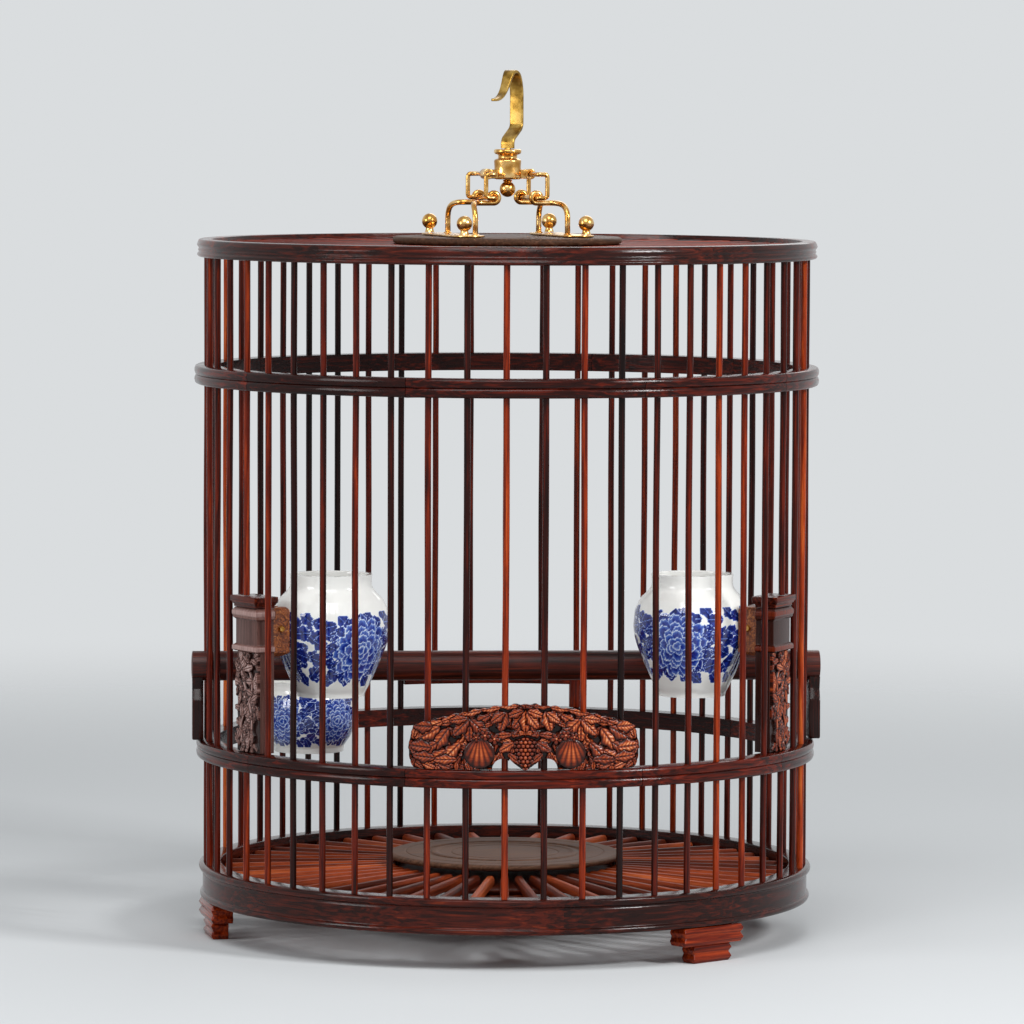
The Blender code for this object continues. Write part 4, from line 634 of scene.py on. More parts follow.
# The raised edges are painted brighter than the sunk field between them: a painted
# highlight, along with rubbed wear.
proud = np.maximum((np.abs(shape[..., 0]) - wide) / FIELD_IN,
                   (-shape[..., 1] - face) / FIELD_SUNK)
painted_light_and_wear = np.clip(1 + proud, 0, 1) ** 3
# Each post's name, turn, side, wood, field tint and the painted highlight on its raised edges.
POSTS = (("post_left", -POST_TURN, 1, reflection_greyed_rosewood, 0.34, 0.38),
         ("post_right", POST_TURN, -1, carved_rosewood, 0.16, 0.24))
for index, (name, turn, side, wood, field, edge) in enumerate(POSTS):
    front, back = shell(*(swung(grid * (side, 1, 1), turn) for grid in (panel, panel_back)))
    surface("carved_" + name, [
        sawn(front, turn, "z", 140 + index, shade), sawn(back, turn, "z", 140 + index, 0.2),
        sawn(swung(shape, turn), turn, "z", 150 + index, field + edge * painted_light_and_wear)],
        wood, "cage", name)

# Post caps: small moulded rosewood blocks glued on the posts, each with a flat foot, a
# hollow and a square lid that the upper stretch of the interrupted bar stands on.
CAP_LOW, CAP_HALF, CAP_EAVES = 0.1918, 0.0120, 0.0015
CAP_INNER, CAP_MIDDLE, CAP_OUTER = 0.1590, 0.165, 0.1715
CAP_LEVELS = ((0.0, 0.0), (0.22, 0.0), (0.30, 0.45), (0.42, 0.55), (0.50, 1.0),
              (1.0, 1.0))
levels = [(CAP_LOW, 0, CAP_MIDDLE, CAP_MIDDLE)]
levels += [(CAP_LOW + up * (CAP_TOP - CAP_LOW), CAP_HALF + out * CAP_EAVES,
            CAP_INNER - out * CAP_EAVES, CAP_OUTER + out * CAP_EAVES)
           for up, out in CAP_LEVELS]
levels.append((CAP_TOP, 0, CAP_MIDDLE, CAP_MIDDLE))
shape = block(eased(levels, 0.0004, closed=False), 0.0005)
for name, turn in (("post_cap_left", -POST_TURN), ("post_cap_right", POST_TURN)):
    surface("moulded_" + name, [sawn(swung(shape, turn), turn, "x", 160 + turn, 0.55)],
            dark_rosewood, "cage", name)

# Cup clips: forks of burl wood, two behind the posts and one on the lower hoop, each
# hollowed to fit its cup, with a slot for the cup's ear. Burl has knots of swirling
# grain in several sizes, so its colour is cloudy, and handling has polished it.
BURL_GRAIN = 0.0022
BURL_STOPS = ((0.30, "#2a0f06"), (0.45, "#6a3011"), (0.58, "#965021"), (0.72, "#c07c3c"))
burl_wood, tree, shader = blank("carved_burl")
place = node(tree, "TexCoord").outputs["Object"]
knots = node(tree, "TexNoise", [("Vector", place), ("Scale", 1 / BURL_GRAIN),
                                ("Detail", 6.0), ("Distortion", 1.8)]).outputs["Fac"]
colour = node(tree, "ValToRGB", [(0, knots)], BURL_STOPS)
bump = node(tree, "Bump", [("Height", knots), ("Strength", 0.5), ("Distance", 0.0006)])
shader.inputs["Roughness"].default_value = 0.38
tree.links.new(colour.outputs["Color"], shader.inputs["Base Color"])
tree.links.new(bump.outputs[0], shader.inputs["Normal"])
for name in ("cup_clip_left", "cup_clip_right", "cup_clip_low"):
    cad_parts[name].material_slots[0].material = burl_wood

# Cups: wheel-thrown porcelain, dipped in a clear glaze over a cobalt painting of peonies
# and leaves that runs round the belly. Neck and foot stay white. Behind, an ear that is
# moulded on hooks over the pin of the clip.
CUP_WALL, LIP, EAR_REACH = 0.0026, 0.0006, 0.0045
CUP_FOOT = ((0.0, 0.0022), (0.0155, 0.0022), (0.0172, 0.0016), (0.0178, 0.0))
TALL_PROFILE = ((0.0188, 0.0), (0.0192, 0.0022), (0.0211, 0.0055), (0.0257, 0.0151),
                (0.0307, 0.0274), (0.0325, 0.0335), (0.0330, 0.0395), (0.0322, 0.0480),
                (0.0292, 0.0545), (0.0246, 0.0590), (0.0230, 0.0613), (0.0227, 0.0645),
                (0.0231, 0.0685))
LOW_PROFILE = ((0.0200, 0.0), (0.0202, 0.0030), (0.0240, 0.0085), (0.0266, 0.0150),
               (0.0273, 0.0205), (0.0272, 0.0270), (0.0262, 0.0320), (0.0246, 0.0360),
               (0.0243, 0.0385), (0.0246, 0.0410))
# A cup's turn, how far out and how high it hangs, its pin's height, its profile, the
# painted band, the number of peonies and the way that the first of them faces.
CUPS = {"cup_left": (-POST_TURN, 0.1157, 0.1399, 0.1797, TALL_PROFILE, (0.0075, 0.0480), 3,
                     0.54),
        "cup_right": (POST_TURN, 0.1157, 0.1399, 0.1797, TALL_PROFILE, (0.0100, 0.0505), 3,
                      -0.36),
        "cup_low": (-17 * PITCH, 0.1301, 0.0954, 0.1225, LOW_PROFILE, (0.0050, 0.0335), 5,
                    0.61)}
LEAF_COLUMNS, LEAF_ROWS = 10, 6
PETAL_RINGS = ((0.15, 3), (0.30, 5), (0.46, 6), (0.62, 8), (0.78, 9), (0.90, 11),
               (1.0, 12))


def peony(blue, along, up, size):
    """Lays a peony over a painting. Petals overlap like roof tiles: a place belongs to
    the innermost scalloped ring that reaches it, is darkest at the petal's root and has
    a bare white line at its edge."""
    reach, angle = np.hypot(along, up * 0.95), np.arctan2(up, along)
    free = np.ones(along.shape, dtype=bool)
    for index, (share, count) in enumerate(PETAL_RINGS):
        wave = np.abs(np.sin(angle * count / 2 + 1.7 * index))
        edge = size * share * (0.76 + 0.28 * wave ** 0.7)
        edge *= 1 + 0.07 * np.sin(2 * angle + 2.1 * index)
        edge *= 1 + 0.02 * np.sin(7 * angle * count / 2)
        deep = edge - reach
        inside = free & (deep > 0)
        tone = 1.00 - 0.74 * np.exp(-deep / (0.105 * size))
        tone -= 0.12 * np.abs(np.sin(angle * count * 2.5))
        tone = np.where((wave < 0.08) & (deep < 0.12 * size), 0.30, tone)
        tone = np.where(deep < 0.026 * size, 0.06, tone)
        blue[inside] = tone[inside]
        free &= ~inside


def painted_leaf(blue, along, up, turn, length, width):
    """Lays a toothed leaf with white veins over a painting."""
    p = along * cos(turn) + up * sin(turn)
    q = up * cos(turn) - along * sin(turn)
    share = np.clip(p / length, 0, 1)
    half = width * np.sin(pi * share) ** 0.8 * (1 + 0.16 * np.sin(4 * pi * share))
    blue[(p > -0.0003) & (p < length + 0.0003) & (np.abs(q) < half + 0.0003)] = 0.0
    inside = (p > 0) & (p < length) & (np.abs(q) < half)
    tone = np.where(np.abs(q) < 0.05 * width, 0.30, 1.0 - 0.20 * np.abs(q) / width)
    blue[inside] = tone[inside]


def painting(along, up, around, low, high, flowers, first):
    """Peonies evenly round the cup over a close growth of toothed leaves that fills the
    band between them. The values run from 0, bare, to 1, deep cobalt."""
    blue = np.zeros(along.shape)
    middle, size = (low + high) / 2, (high - low) / 2
    marks = np.random.default_rng(3)
    step = around / flowers

    def past(place):
        """The way along the band from a place, by the shorter side of the cup."""
        return (along - place + around / 2) % around - around / 2

    for flower in range(flowers):
        centre = first + flower * step
        for index in range(LEAF_COLUMNS * LEAF_ROWS):
            column, row = index // LEAF_ROWS, index % LEAF_ROWS
            foot = (centre + step * ((column + marks.uniform(-0.3, 0.3)) / LEAF_COLUMNS - 0.5),
                    size * (1.7 * (row + marks.uniform(0.2, 0.8)) / LEAF_ROWS - 0.85))
            turn = marks.uniform(-0.8, 0.8) + pi * (index % 2)
            turn += (0.6 - 1.2 * (index % 2)) * foot[1] / size
            painted_leaf(blue, past(foot[0]), up - middle - foot[1], turn,
                         size * marks.uniform(0.40, 0.58),
                         size * marks.uniform(0.15, 0.21))
        for index in range(18):
            turn = 2 * pi * index / 18 + marks.uniform(-0.1, 0.1)
            foot = (0.66 * size * cos(turn), 0.62 * size * sin(turn))
            painted_leaf(blue, past(centre + foot[0]), up - middle - foot[1],
                         turn + marks.uniform(-0.5, 0.5),
                         size * marks.uniform(0.34, 0.46),
                         size * marks.uniform(0.12, 0.18))
    for flower in range(flowers):
        peony(blue, past(first + flower * step), up - middle, 0.84 * size)
    return np.where((up > low - 0.001) & (up < high + 0.001), blue, 0)


# Fired glaze has a hard, even gloss. Under it the brush has left the cobalt uneven.
WASH_WIDTH = 0.0015
porcelain, tree, shader = blank("glazed_porcelain")
brushed = node(tree, "Attribute", attribute_name="tint").outputs["Fac"]
wash = node(tree, "TexNoise", [("Vector", node(tree, "TexCoord").outputs["Object"]),
                               ("Scale", 1 / WASH_WIDTH), ("Detail", 3.0)])
wash = node(tree, "MapRange", enumerate((wash.outputs["Fac"], 0.3, 0.7, 0.78, 1.12)))
brushed = node(tree, "Math", [(0, brushed), (1, wash.outputs[0])], operation='MULTIPLY')
glaze = node(tree, "ValToRGB", [(0, brushed.outputs[0])],
             ((0.0, "#fafaf6"), (0.20, "#b9cdee"), (0.45, "#4c6fc6"), (0.70, "#1b3396"),
              (1.0, "#0b1650")))
tree.links.new(glaze.outputs["Color"], shader.inputs["Base Color"])
shader.inputs["Roughness"].default_value = 0.09
shader.inputs["Coat Weight"].default_value = 0.5
shader.inputs["Coat Roughness"].default_value = 0.04
for name, (turn, out, low, pin_z, outline, band, flowers, facing) in CUPS.items():
    outline = np.array(outline)
    belly, top = outline[:, 0].max(), outline[-1, 1]
    run = run_of(outline)
    fine = np.linspace(0, run[-1], 150)
    weights = np.hanning(9) / np.hanning(9).sum()
    wall = np.stack([np.interp(fine, run, outline[:, axis]) for axis in (0, 1)], axis=-1)
    padded = np.pad(wall, ((4, 4), (0, 0)), mode="reflect", reflect_type="odd")
    wall = np.stack([np.convolve(padded[:, axis], weights, mode="valid")
                     for axis in (0, 1)], axis=-1)
    inside = wall[12::6] - (CUP_WALL, 0)
    inside = inside[inside[:, 1] < top - 0.001][::-1]
    brim = wall[-1, 0]
    lip = ((brim - 0.0004, top), (brim - CUP_WALL + LIP, top), (brim - CUP_WALL, top - LIP))
    foot = (*CUP_FOOT, (outline[0, 0] - LIP, 0.0))
    profile = np.vstack((foot, wall, lip, inside, (0.0, inside[-1, 1] - 0.0015)))
    profile[:, 1] += low
    turns = np.linspace(-pi, pi, 385)
    points = turned(profile, turns) + (0.0, -out, 0.0)
    marked = np.zeros(points.shape[:2])
    along, up = np.meshgrid(turns * belly, wall[:, 1])
    marked[len(foot):len(foot) + len(wall)] = painting(
        along, up, 2 * pi * belly, *band, flowers, (facing - turn) * belly)
    pin = out + belly + EAR_REACH
    ear_path = ((0, -(out + belly - 0.0016), pin_z + 0.0010),
                (0, -(pin - 0.0030), pin_z + 0.0030),
                (0, -(pin + 0.0010), pin_z + 0.0031), (0, -(pin + 0.0027), pin_z + 0.0018),
                (0, -(pin + 0.0027), pin_z - 0.0027))
    ear = carried(oblong(-0.0019, 0.0019, -0.0009, 0.0009, 0.0005),
                  eased(ear_path, 0.0012, closed=False), (1, 0, 0), 0.0006)[0]
    surface("painted_" + name, [(swung(points, turn), 0, marked), (swung(ear, turn), 0, 0)],
            porcelain, name, name)

# Brass: cast and bent fittings, filed and polished by hand. Handling has left soft
# scratches and cloudy patches, so the shine varies from place to place.
CLOUD_WIDTH, SCRATCH_LENGTH = 0.005556, 0.0025


def polished_brass(name, stops, rough):
    """Brass: a yellow metal whose gloss is broken by cloudy patches and hairlines."""
    made, tree, shader = blank(name)
    place = node(tree, "TexCoord").outputs["Object"]
    cloud = node(tree, "TexNoise", [("Vector", place), ("Scale", 1 / CLOUD_WIDTH),
                                    ("Detail", 3.0)]).outputs["Fac"]
    hair = node(tree, "TexNoise", [("Vector", place), ("Scale", 1 / SCRATCH_LENGTH),
                                   ("Detail", 5.0), ("Distortion", 2.0)])
    colour = node(tree, "ValToRGB", [(0, cloud)], stops)
    gloss = node(tree, "MapRange", enumerate((cloud, 0.35, 0.7, *rough)))
    bump = node(tree, "Bump", [("Height", hair.outputs["Fac"]), ("Strength", 0.12),
                               ("Distance", 0.0003)])
    shader.inputs["Metallic"].default_value = 1.0
    tree.links.new(colour.outputs["Color"], shader.inputs["Base Color"])
    tree.links.new(gloss.outputs[0], shader.inputs["Roughness"])
    tree.links.new(bump.outputs[0], shader.inputs["Normal"])
    return made


def metal(turn, *shapes):
    """Patches of brass, swung to their turn. Brass has no grain and no tint to carry."""
    return [(swung(shape, turn), 0, 0) for shape in shapes]


brass = polished_brass("polished_brass", ((0.35, "#b5803a"), (0.5, "#d6a45a"),
                                          (0.65, "#efcb8e")), (0.16, 0.28))
old_brass = polished_brass("old_brass", ((0.35, "#7a5c26"), (0.5, "#a27d38"),
                                         (0.65, "#c09d55")), (0.26, 0.40))
for name in ("clip_pin_left", "clip_pin_right", "clip_pin_low"):
    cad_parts[name].material_slots[0].material = brass

# Perch: one straight round of dark rosewood, as thick as a thumb and rubbed dull, with
# its end grain showing where the rod sticks out beyond the bars on both sides.
PERCH_REACH, PERCH_Y, PERCH_Z, PERCH_RADIUS = 0.179, -0.010674, 0.1525, 0.0084
path = np.stack((np.linspace(-PERCH_REACH, PERCH_REACH, 24), np.full(24, PERCH_Y),
                 np.full(24, PERCH_Z)), axis=-1)
points, grain = carried(circle(PERCH_RADIUS, 56), path, (0, 1, 0), 0.0008)
rubbed_rosewood = timber("rubbed_dark_rosewood", DARK_STOPS, 0.30, (0.34, 0.46), 0.25, 0.30)
surface("rounded_perch", [(points, grain + 180 * TREE_SHIFT, 0.50)], rubbed_rosewood,
        "perch", "perch")

# Perch brackets: sawn blocks outside the bars on the lower hoop, with a narrow neck and
# a hollow seat on top that the perch lies in.
BRACKET_LOW, SHOULDER, BRACKET_CENTRE = 0.1110, 0.1330, 0.1360
BRACKET_HALF, NECK_HALF, SEAT_RADIUS = 0.008, 0.0043, 0.0087
BRACKET_X = (0.1721, 0.1785)


def plate(outline, centre, low, high, edge):
    """A flat body between low and high: rows of the outline drawn in towards a centre,
    by all of its size in the middle of each face and by the edge's radius at its rim."""
    outline = np.asarray(outline, dtype=float)
    away = outline - centre
    length = np.linalg.norm(away, axis=1, keepdims=True)
    rows = []
    for pull, level in ((1.0, low), (edge, low), (0.3 * edge, low + 0.3 * edge),
                        (0.0, low + edge), (0.0, high - edge),
                        (0.3 * edge, high - 0.3 * edge), (edge, high), (1.0, high)):
        flat = centre + away * (0.0 if pull == 1.0 else 1 - pull / length)
        rows.append(np.column_stack((flat, np.full(len(flat), level))))
    return np.array(rows)


seat = np.linspace(-0.78, -pi + 0.78, 15)
seat = np.stack((SEAT_RADIUS * np.cos(seat), PERCH_Z + SEAT_RADIUS * np.sin(seat)), axis=-1)
waist = (SHOULDER + seat[0, 1]) / 2
outline = eased(((-NECK_HALF, waist), (-BRACKET_HALF, SHOULDER),
                 (-BRACKET_HALF, BRACKET_LOW), (BRACKET_HALF, BRACKET_LOW),
                 (BRACKET_HALF, SHOULDER), (NECK_HALF, waist)), 0.0012, closed=False)
outline = np.vstack((outline, seat, outline[:1]))
for name, side in (("perch_bracket_left", -1), ("perch_bracket_right", 1)):
    shape = plate(outline, (0.0, BRACKET_CENTRE), *BRACKET_X, 0.0006)
    shape = shape[..., (2, 0, 1)] * (side, 1, 1) + (0, PERCH_Y, 0)
    surface("sawn_" + name, [sawn(shape, 0, "z", 185 + side, 0.28)], dark_rosewood,
            "cage", name)

# Plaque: a thick board bent round the front of the lower hoop and carved in deep relief
# up to its scalloped top edge. Vine leaves with cut veins arch over a bunch of grapes
# between two round fruits, and two small arches below leave the hoop free.
PLAQUE_LOW, PLAQUE_HALF, PLAQUE_BACK, PLAQUE_DEEP = 0.1110, 0.0635, 0.1721, 0.0045
UNDERGROWTH, ALONG_STEPS, UP_STEPS = 170, 440, 107
PLAQUE_TOP = ((0.0, 0.0355), (0.012, 0.0346), (0.022, 0.0330), (0.031, 0.0312),
              (0.041, 0.0288), (0.049, 0.0268), (0.056, 0.0250), (0.0605, 0.0228),
              (0.0625, 0.0185), (0.0635, 0.0120))
# Each leaf's way out and height at the stalk, its turn, length and half width.
PLAQUE_LEAVES = ((0.0000, 0.0325, -1.57, 0.0120, 0.0036), (0.0005, 0.0315, -0.95, 0.0110, 0.0034),
                 (0.0010, 0.0325, -0.35, 0.0095, 0.0028), (0.0105, 0.0320, -1.30, 0.0115, 0.0036),
                 (0.0110, 0.0315, -0.65, 0.0095, 0.0030), (0.0040, 0.0348, 0.02, 0.0105, 0.0022),
                 (0.0130, 0.0342, -0.14, 0.0115, 0.0023), (0.0230, 0.0325, -0.20, 0.0120, 0.0026),
                 (0.0335, 0.0300, -0.35, 0.0125, 0.0028), (0.0440, 0.0262, -0.40, 0.0110, 0.0030),
                 (0.0185, 0.0300, -0.50, 0.0110, 0.0030), (0.0300, 0.0280, -1.60, 0.0130, 0.0042),
                 (0.0300, 0.0275, -0.80, 0.0125, 0.0038), (0.0295, 0.0275, -2.40, 0.0120, 0.0038),
                 (0.0310, 0.0280, -0.15, 0.0100, 0.0030), (0.0345, 0.0150, -0.80, 0.0145, 0.0036),
                 (0.0410, 0.0225, -0.95, 0.0150, 0.0044), (0.0455, 0.0230, -0.50, 0.0140, 0.0042),
                 (0.0470, 0.0145, -0.55, 0.0130, 0.0040), (0.0495, 0.0230, 0.05, 0.0110, 0.0042),
                 (0.0420, 0.0105, -0.60, 0.0125, 0.0036), (0.0500, 0.0115, 0.10, 0.0125, 0.0042),
                 (0.0360, 0.0055, -0.02, 0.0140, 0.0030), (0.0480, 0.0060, 0.10, 0.0130, 0.0034),
                 (0.0060, 0.0150, -0.55, 0.0095, 0.0030), (0.0070, 0.0195, -0.10, 0.0100, 0.0024),
                 (0.0175, 0.0185, 0.50, 0.0090, 0.0026), (0.0160, 0.0040, 0.02, 0.0130, 0.0020))
# Hollows: each one's way out, height, half width and half height. The carving sinks there.
PLAQUE_SHADED_HOLLOWS = ((0.0125, 0.0215, 0.0070, 0.0020), (0.0360, 0.0180, 0.0020, 0.0020),
                  (0.0375, 0.0100, 0.0028, 0.0022), (0.0200, 0.0020, 0.0060, 0.0010))
BERRY_WIDTH, BERRY_RISE, BERRY_LOW, BERRY_RADIUS = 0.0024, 0.0021, 0.0025, 0.00125
FRUIT_OUT, FRUIT_LEVEL, FRUIT_RADIUS = 0.0245, 0.0090, 0.0084
along = np.linspace(-1, 1, ALONG_STEPS + 1)
up = np.linspace(0, 1, UP_STEPS + 1)
aside = np.abs(along) * PLAQUE_HALF
end = np.clip((np.abs(along) - 0.93) / 0.07, 0, 1)
top = np.interp(aside, *np.transpose(PLAQUE_TOP))
top *= 1 + 0.022 * np.abs(np.sin(aside / 0.0034)) + 0.010 * np.cos(23 * pi * along)
arch = np.sqrt(np.clip(1 - ((np.abs(along) - 0.19) / 0.09) ** 2, 0, 1))
arch = np.maximum(arch, np.where(aside < 0.0085, aside / 0.0085, 0) ** 1.5)
bottom = 0.0062 * (arch + 1.3 * end ** 2)
x, height = np.meshgrid(along * PLAQUE_HALF, up)
z = bottom + (top - bottom) * height
# The ground's low tint is painted shade, along with oil that gathers in the carving.
relief = np.array((0.10 + 0.06 * np.sin(x / 0.0013) * np.sin(z / 0.0017),
                   np.full_like(x, 0.09)))
marks = np.random.default_rng(21)
for index in range(UNDERGROWTH):
    foot = (marks.uniform(0.0, 0.062), marks.uniform(0.0, 0.036))
    shape = (foot, marks.uniform(0, 2 * pi), marks.uniform(0.0055, 0.0095),
             marks.uniform(0.0016, 0.0027))
    highlight_and_wear = marks.uniform(0.75, 1.25)
    for side in (-1, 1):
        laid(relief, 0.10 + 0.002 * index, *leaf(side * x, z, *shape), highlight_and_wear)
# Where the carving sinks into hollows, its tint is also painted near black, as the shade in them.
for middle, level, half, tall in PLAQUE_SHADED_HOLLOWS:
    hollow = ((np.abs(x) - middle) / half) ** 2 + ((z - level) / tall) ** 2
    relief *= 1 - 0.95 * np.exp(-hollow ** 2)
for side in (-1, 1):
    for reach, level, turn, length, width in PLAQUE_LEAVES:
        # How bright each leaf's top is painted: a highlight along with rubbed wear.
        highlight_and_wear = 1.05 + 0.20 * np.sin(40 * reach / PLAQUE_HALF + side)
        laid(relief, 0.52, *leaf(side * x, z, (reach, level), turn, length, width), highlight_and_wear)
    away, lift = (side * x - FRUIT_OUT) / FRUIT_RADIUS, (z - FRUIT_LEVEL) / FRUIT_RADIUS
    ball = np.sqrt(np.clip(1 - away ** 2 - lift ** 2, 0, 1))
    ridges = np.abs(np.sin(15 * np.arctan2(away, 1.3 - lift)))
    laid(relief, 0.45, ball > 0, 1.3 * ball ** 0.7 * (0.86 + 0.14 * ridges),
         0.26 + 0.26 * ridges)
    for place, size in (((0.0165, 0.0170), 0.0036), ((0.0215, 0.0188), 0.0034),
                        ((0.0262, 0.0178), 0.0028)):
        flower = blossom(side * x, z, place, size, 0.4)
        laid(relief, 0.62, flower > 0, flower, 1.25)
row = np.round((z - BERRY_LOW) / BERRY_RISE)
shifted = x / BERRY_WIDTH - 0.5 * (row % 2)
drop = np.hypot((shifted - np.round(shifted)) * BERRY_WIDTH,
                z - BERRY_LOW - row * BERRY_RISE)
half_bunch = np.interp(z, (0.0, 0.006, 0.013, 0.0165, 0.0180),
                       (0.0010, 0.0048, 0.0064, 0.0052, 0.0))
bunch = np.clip(1 - np.abs(x) / np.maximum(half_bunch, 1e-9), 0, 1)
berries = np.sqrt(np.clip(1 - (drop / BERRY_RADIUS) ** 2, 0, 1))
laid(relief, 0.35, bunch > 0, 0.55 * bunch ** 0.5 + 0.85 * berries, 0.42)
rise, shade = relief
front_reach = PLAQUE_BACK + 0.0008 + (PLAQUE_DEEP - 0.0010) * np.clip(rise, 0, 1.15)
turn = x / PLAQUE_BACK
front = np.stack((front_reach * np.sin(turn), -front_reach * np.cos(turn),
                  z + PLAQUE_LOW), axis=-1)
back = np.stack((PLAQUE_BACK * np.sin(turn), -PLAQUE_BACK * np.cos(turn),
                 z + PLAQUE_LOW), axis=-1)
front, back = shell(front, back)
shade = np.pad(np.clip(shade, 0, 1), 1, mode="edge")
surface("carved_vine_plaque", [sawn(front, 0, "x", 190, shade),
                               sawn(back, 0, "x", 190, 0.2)],
        carved_rosewood, "cage", "plaque")

# Door: four bars between two bowed rails at the back. Its sleeves turn on a full bar of
# the doorway, and the lower one stands on the hoop.
HINGE_TURN, FREE_TURN = 22.5 * PITCH, 27.5 * PITCH
RAIL_DEPTH, DOOR_RAILS = (0.167, 0.173), ((0.1247, 0.1387), (0.2960, 0.3060))
DOOR_SLEEVES = ((0.1110, 0.1390), (0.2957, 0.3063))
SLEEVE_BORE, SLEEVE_OUTER = 0.00225, 0.00425
hinge = np.array((BAR_CIRCLE * sin(HINGE_TURN), -BAR_CIRCLE * cos(HINGE_TURN), 0))
patches = []
for low, high in DOOR_RAILS:
    turns = np.linspace(HINGE_TURN + 0.017, FREE_TURN - 0.0023 / BAR_CIRCLE, 27)
    points = turned(oblong(*RAIL_DEPTH, low, high, 0.0009), turns)
    patches += [sawn(part, pi, "x", 200 + low, 0.45)
                for part in (points, *end_faces(points))]
for low, high in DOOR_SLEEVES:
    points = lathed(oblong(SLEEVE_BORE, SLEEVE_OUTER, low, high, 0.0005), 32) + hinge
    patches.append(sawn(points, 0, "z", 205, 0.5))
for number in DOOR_BARS:
    patches.append(bar(number, DOOR_RAILS[0][1] - BAR_SUNK, DOOR_RAILS[1][0] + BAR_SUNK))
surface("door_leaf", patches, red_rosewood, "door", "door")

# Door catch: a small brass plate on the lower rail that laps over the doorway's other
# full bar, with a turned knob to pull.
CATCH_FACE, CATCH_FRONT, CATCH_Z = 0.1733, 0.1745, 0.1317
catch = plate(oblong(-0.0112, 0.0048, -0.005, 0.005, 0.0018, 5), (-0.0032, 0.0),
              CATCH_FACE, CATCH_FRONT, 0.0003)
catch = catch[..., (0, 2, 1)] * (1, -1, 1) + (0, 0, CATCH_Z)
knob = ((0.0, 0.1796), (0.0018, 0.1794), (0.0029, 0.1783), (0.0029, 0.1770),
        (0.0018, 0.1760), (0.0015, 0.1750), (0.0022, 0.1743), (0.0, 0.1740))
knob = lathed(eased(knob, 0.0004, closed=False), 32)
knob = knob[..., (0, 2, 1)] * (1, -1, 1) + (-0.0064, 0, CATCH_Z)
surface("brass_catch", metal(FREE_TURN, catch, knob), brass, "door",
        "door_catch")

# Claw bases: two brass plates with round ends on the top disc. Two wires are riveted
# into each, bend inwards and are curled at their ends round the bar of a link.
CLAW_TURN = radians(12.4)
PLATE_LOW, PLATE_HIGH = 0.3961, 0.3972
LOWER_PIVOT, UPPER_PIVOT, PIVOT_OUT = 0.4178, 0.4311, 0.0125
LEG_RADIUS, LINK_RADIUS, CURL = 0.00155, 0.0013, 0.0028
LEG_X, LEG_Y, LEG_NECK, BEND_X, EYE_Y = 0.027, 0.029, 0.4030, 0.0195, 0.0155
PLATE_X, PLATE_REACH, PLATE_END = 0.032, 0.033, 0.009


def bowed(controls, steps):
    """The cubic curve a(1-t)^3 + 3bt(1-t)^2 + 3ct^2(1-t) + dt^3 through a to d."""
    t = np.linspace(0, 1, steps)[:, None]
    a, b, c, d = np.asarray(controls, dtype=float)
    return a * (1 - t) ** 3 + 3 * b * t * (1 - t) ** 2 + 3 * c * t ** 2 * (1 - t) + d * t ** 3


leg_run = LOWER_PIVOT - CURL
bend = bowed(((LEG_X, LEG_Y, leg_run - 0.0095), (LEG_X, LEG_Y, leg_run),
              (LEG_X, EYE_Y, leg_run), (BEND_X, EYE_Y, leg_run)), 22)
curl = np.linspace(-pi / 2, -2 * pi, 34)
curl = np.stack((PIVOT_OUT + CURL * np.cos(curl), np.full(34, EYE_Y),
                 LOWER_PIVOT + CURL * np.sin(curl)), axis=-1)
leg = np.vstack(((LEG_X, LEG_Y, PLATE_HIGH - 0.0005), (LEG_X, LEG_Y, LEG_NECK), bend, curl))
half_turn = np.linspace(0, pi, 17)
round_end = np.stack((PLATE_END * np.cos(half_turn),
                      PLATE_REACH + PLATE_END * np.sin(half_turn)), axis=-1)
stadium = np.vstack((round_end, -round_end, round_end[:1]))
rivet = lathed(eased(((0.0, 0.0012), (0.0013, 0.0010), (0.0024, 0.0002), (0.0024, 0.0),
                      (0.0, 0.0)), 0.0003, closed=False), 24)
for name, side in (("claw_base_left", -1), ("claw_base_right", 1)):
    shapes = [plate(stadium + (side * PLATE_X, 0), (side * PLATE_X, 0), PLATE_LOW,
                    PLATE_HIGH, 0.0003)]
    for end in (-1, 1):
        shapes.append(carried(circle(LEG_RADIUS, 20), leg * (side, end, 1), (0, 1, 0),
                              0.0006)[0])
        shapes.append(rivet + (side * LEG_X, end * LEG_Y, PLATE_HIGH))
    surface("bent_" + name, metal(CLAW_TURN, *shapes), brass, "cage", name)

# Ball nuts: four turned brass balls on flared necks that screw the base plates down.
NUT_RADIUS, NUT_RISE = 0.0044, 0.0066
NUT_X, NUT_Y = 0.0356, 0.037
tilt = np.linspace(pi / 2, -pi / 3, 20)
nut = [(NUT_RADIUS * cos(a), PLATE_HIGH + NUT_RISE + NUT_RADIUS * sin(a)) for a in tilt]
nut += [(0.00215, PLATE_HIGH + 0.0022), (0.0026, PLATE_HIGH + 0.0008),
        (0.0029, PLATE_HIGH + GAP), (0.0, PLATE_HIGH + GAP)]
nut = lathed(nut, 40)
for name, place in (("left_front", (-NUT_X, -NUT_Y, 0)), ("left_back", (-NUT_X, NUT_Y, 0)),
                    ("right_front", (NUT_X, -NUT_Y, 0)), ("right_back", (NUT_X, NUT_Y, 0))):
    surface("turned_ball_nut_" + name, metal(CLAW_TURN, nut + place), brass, "cage",
            "ball_nut_" + name)

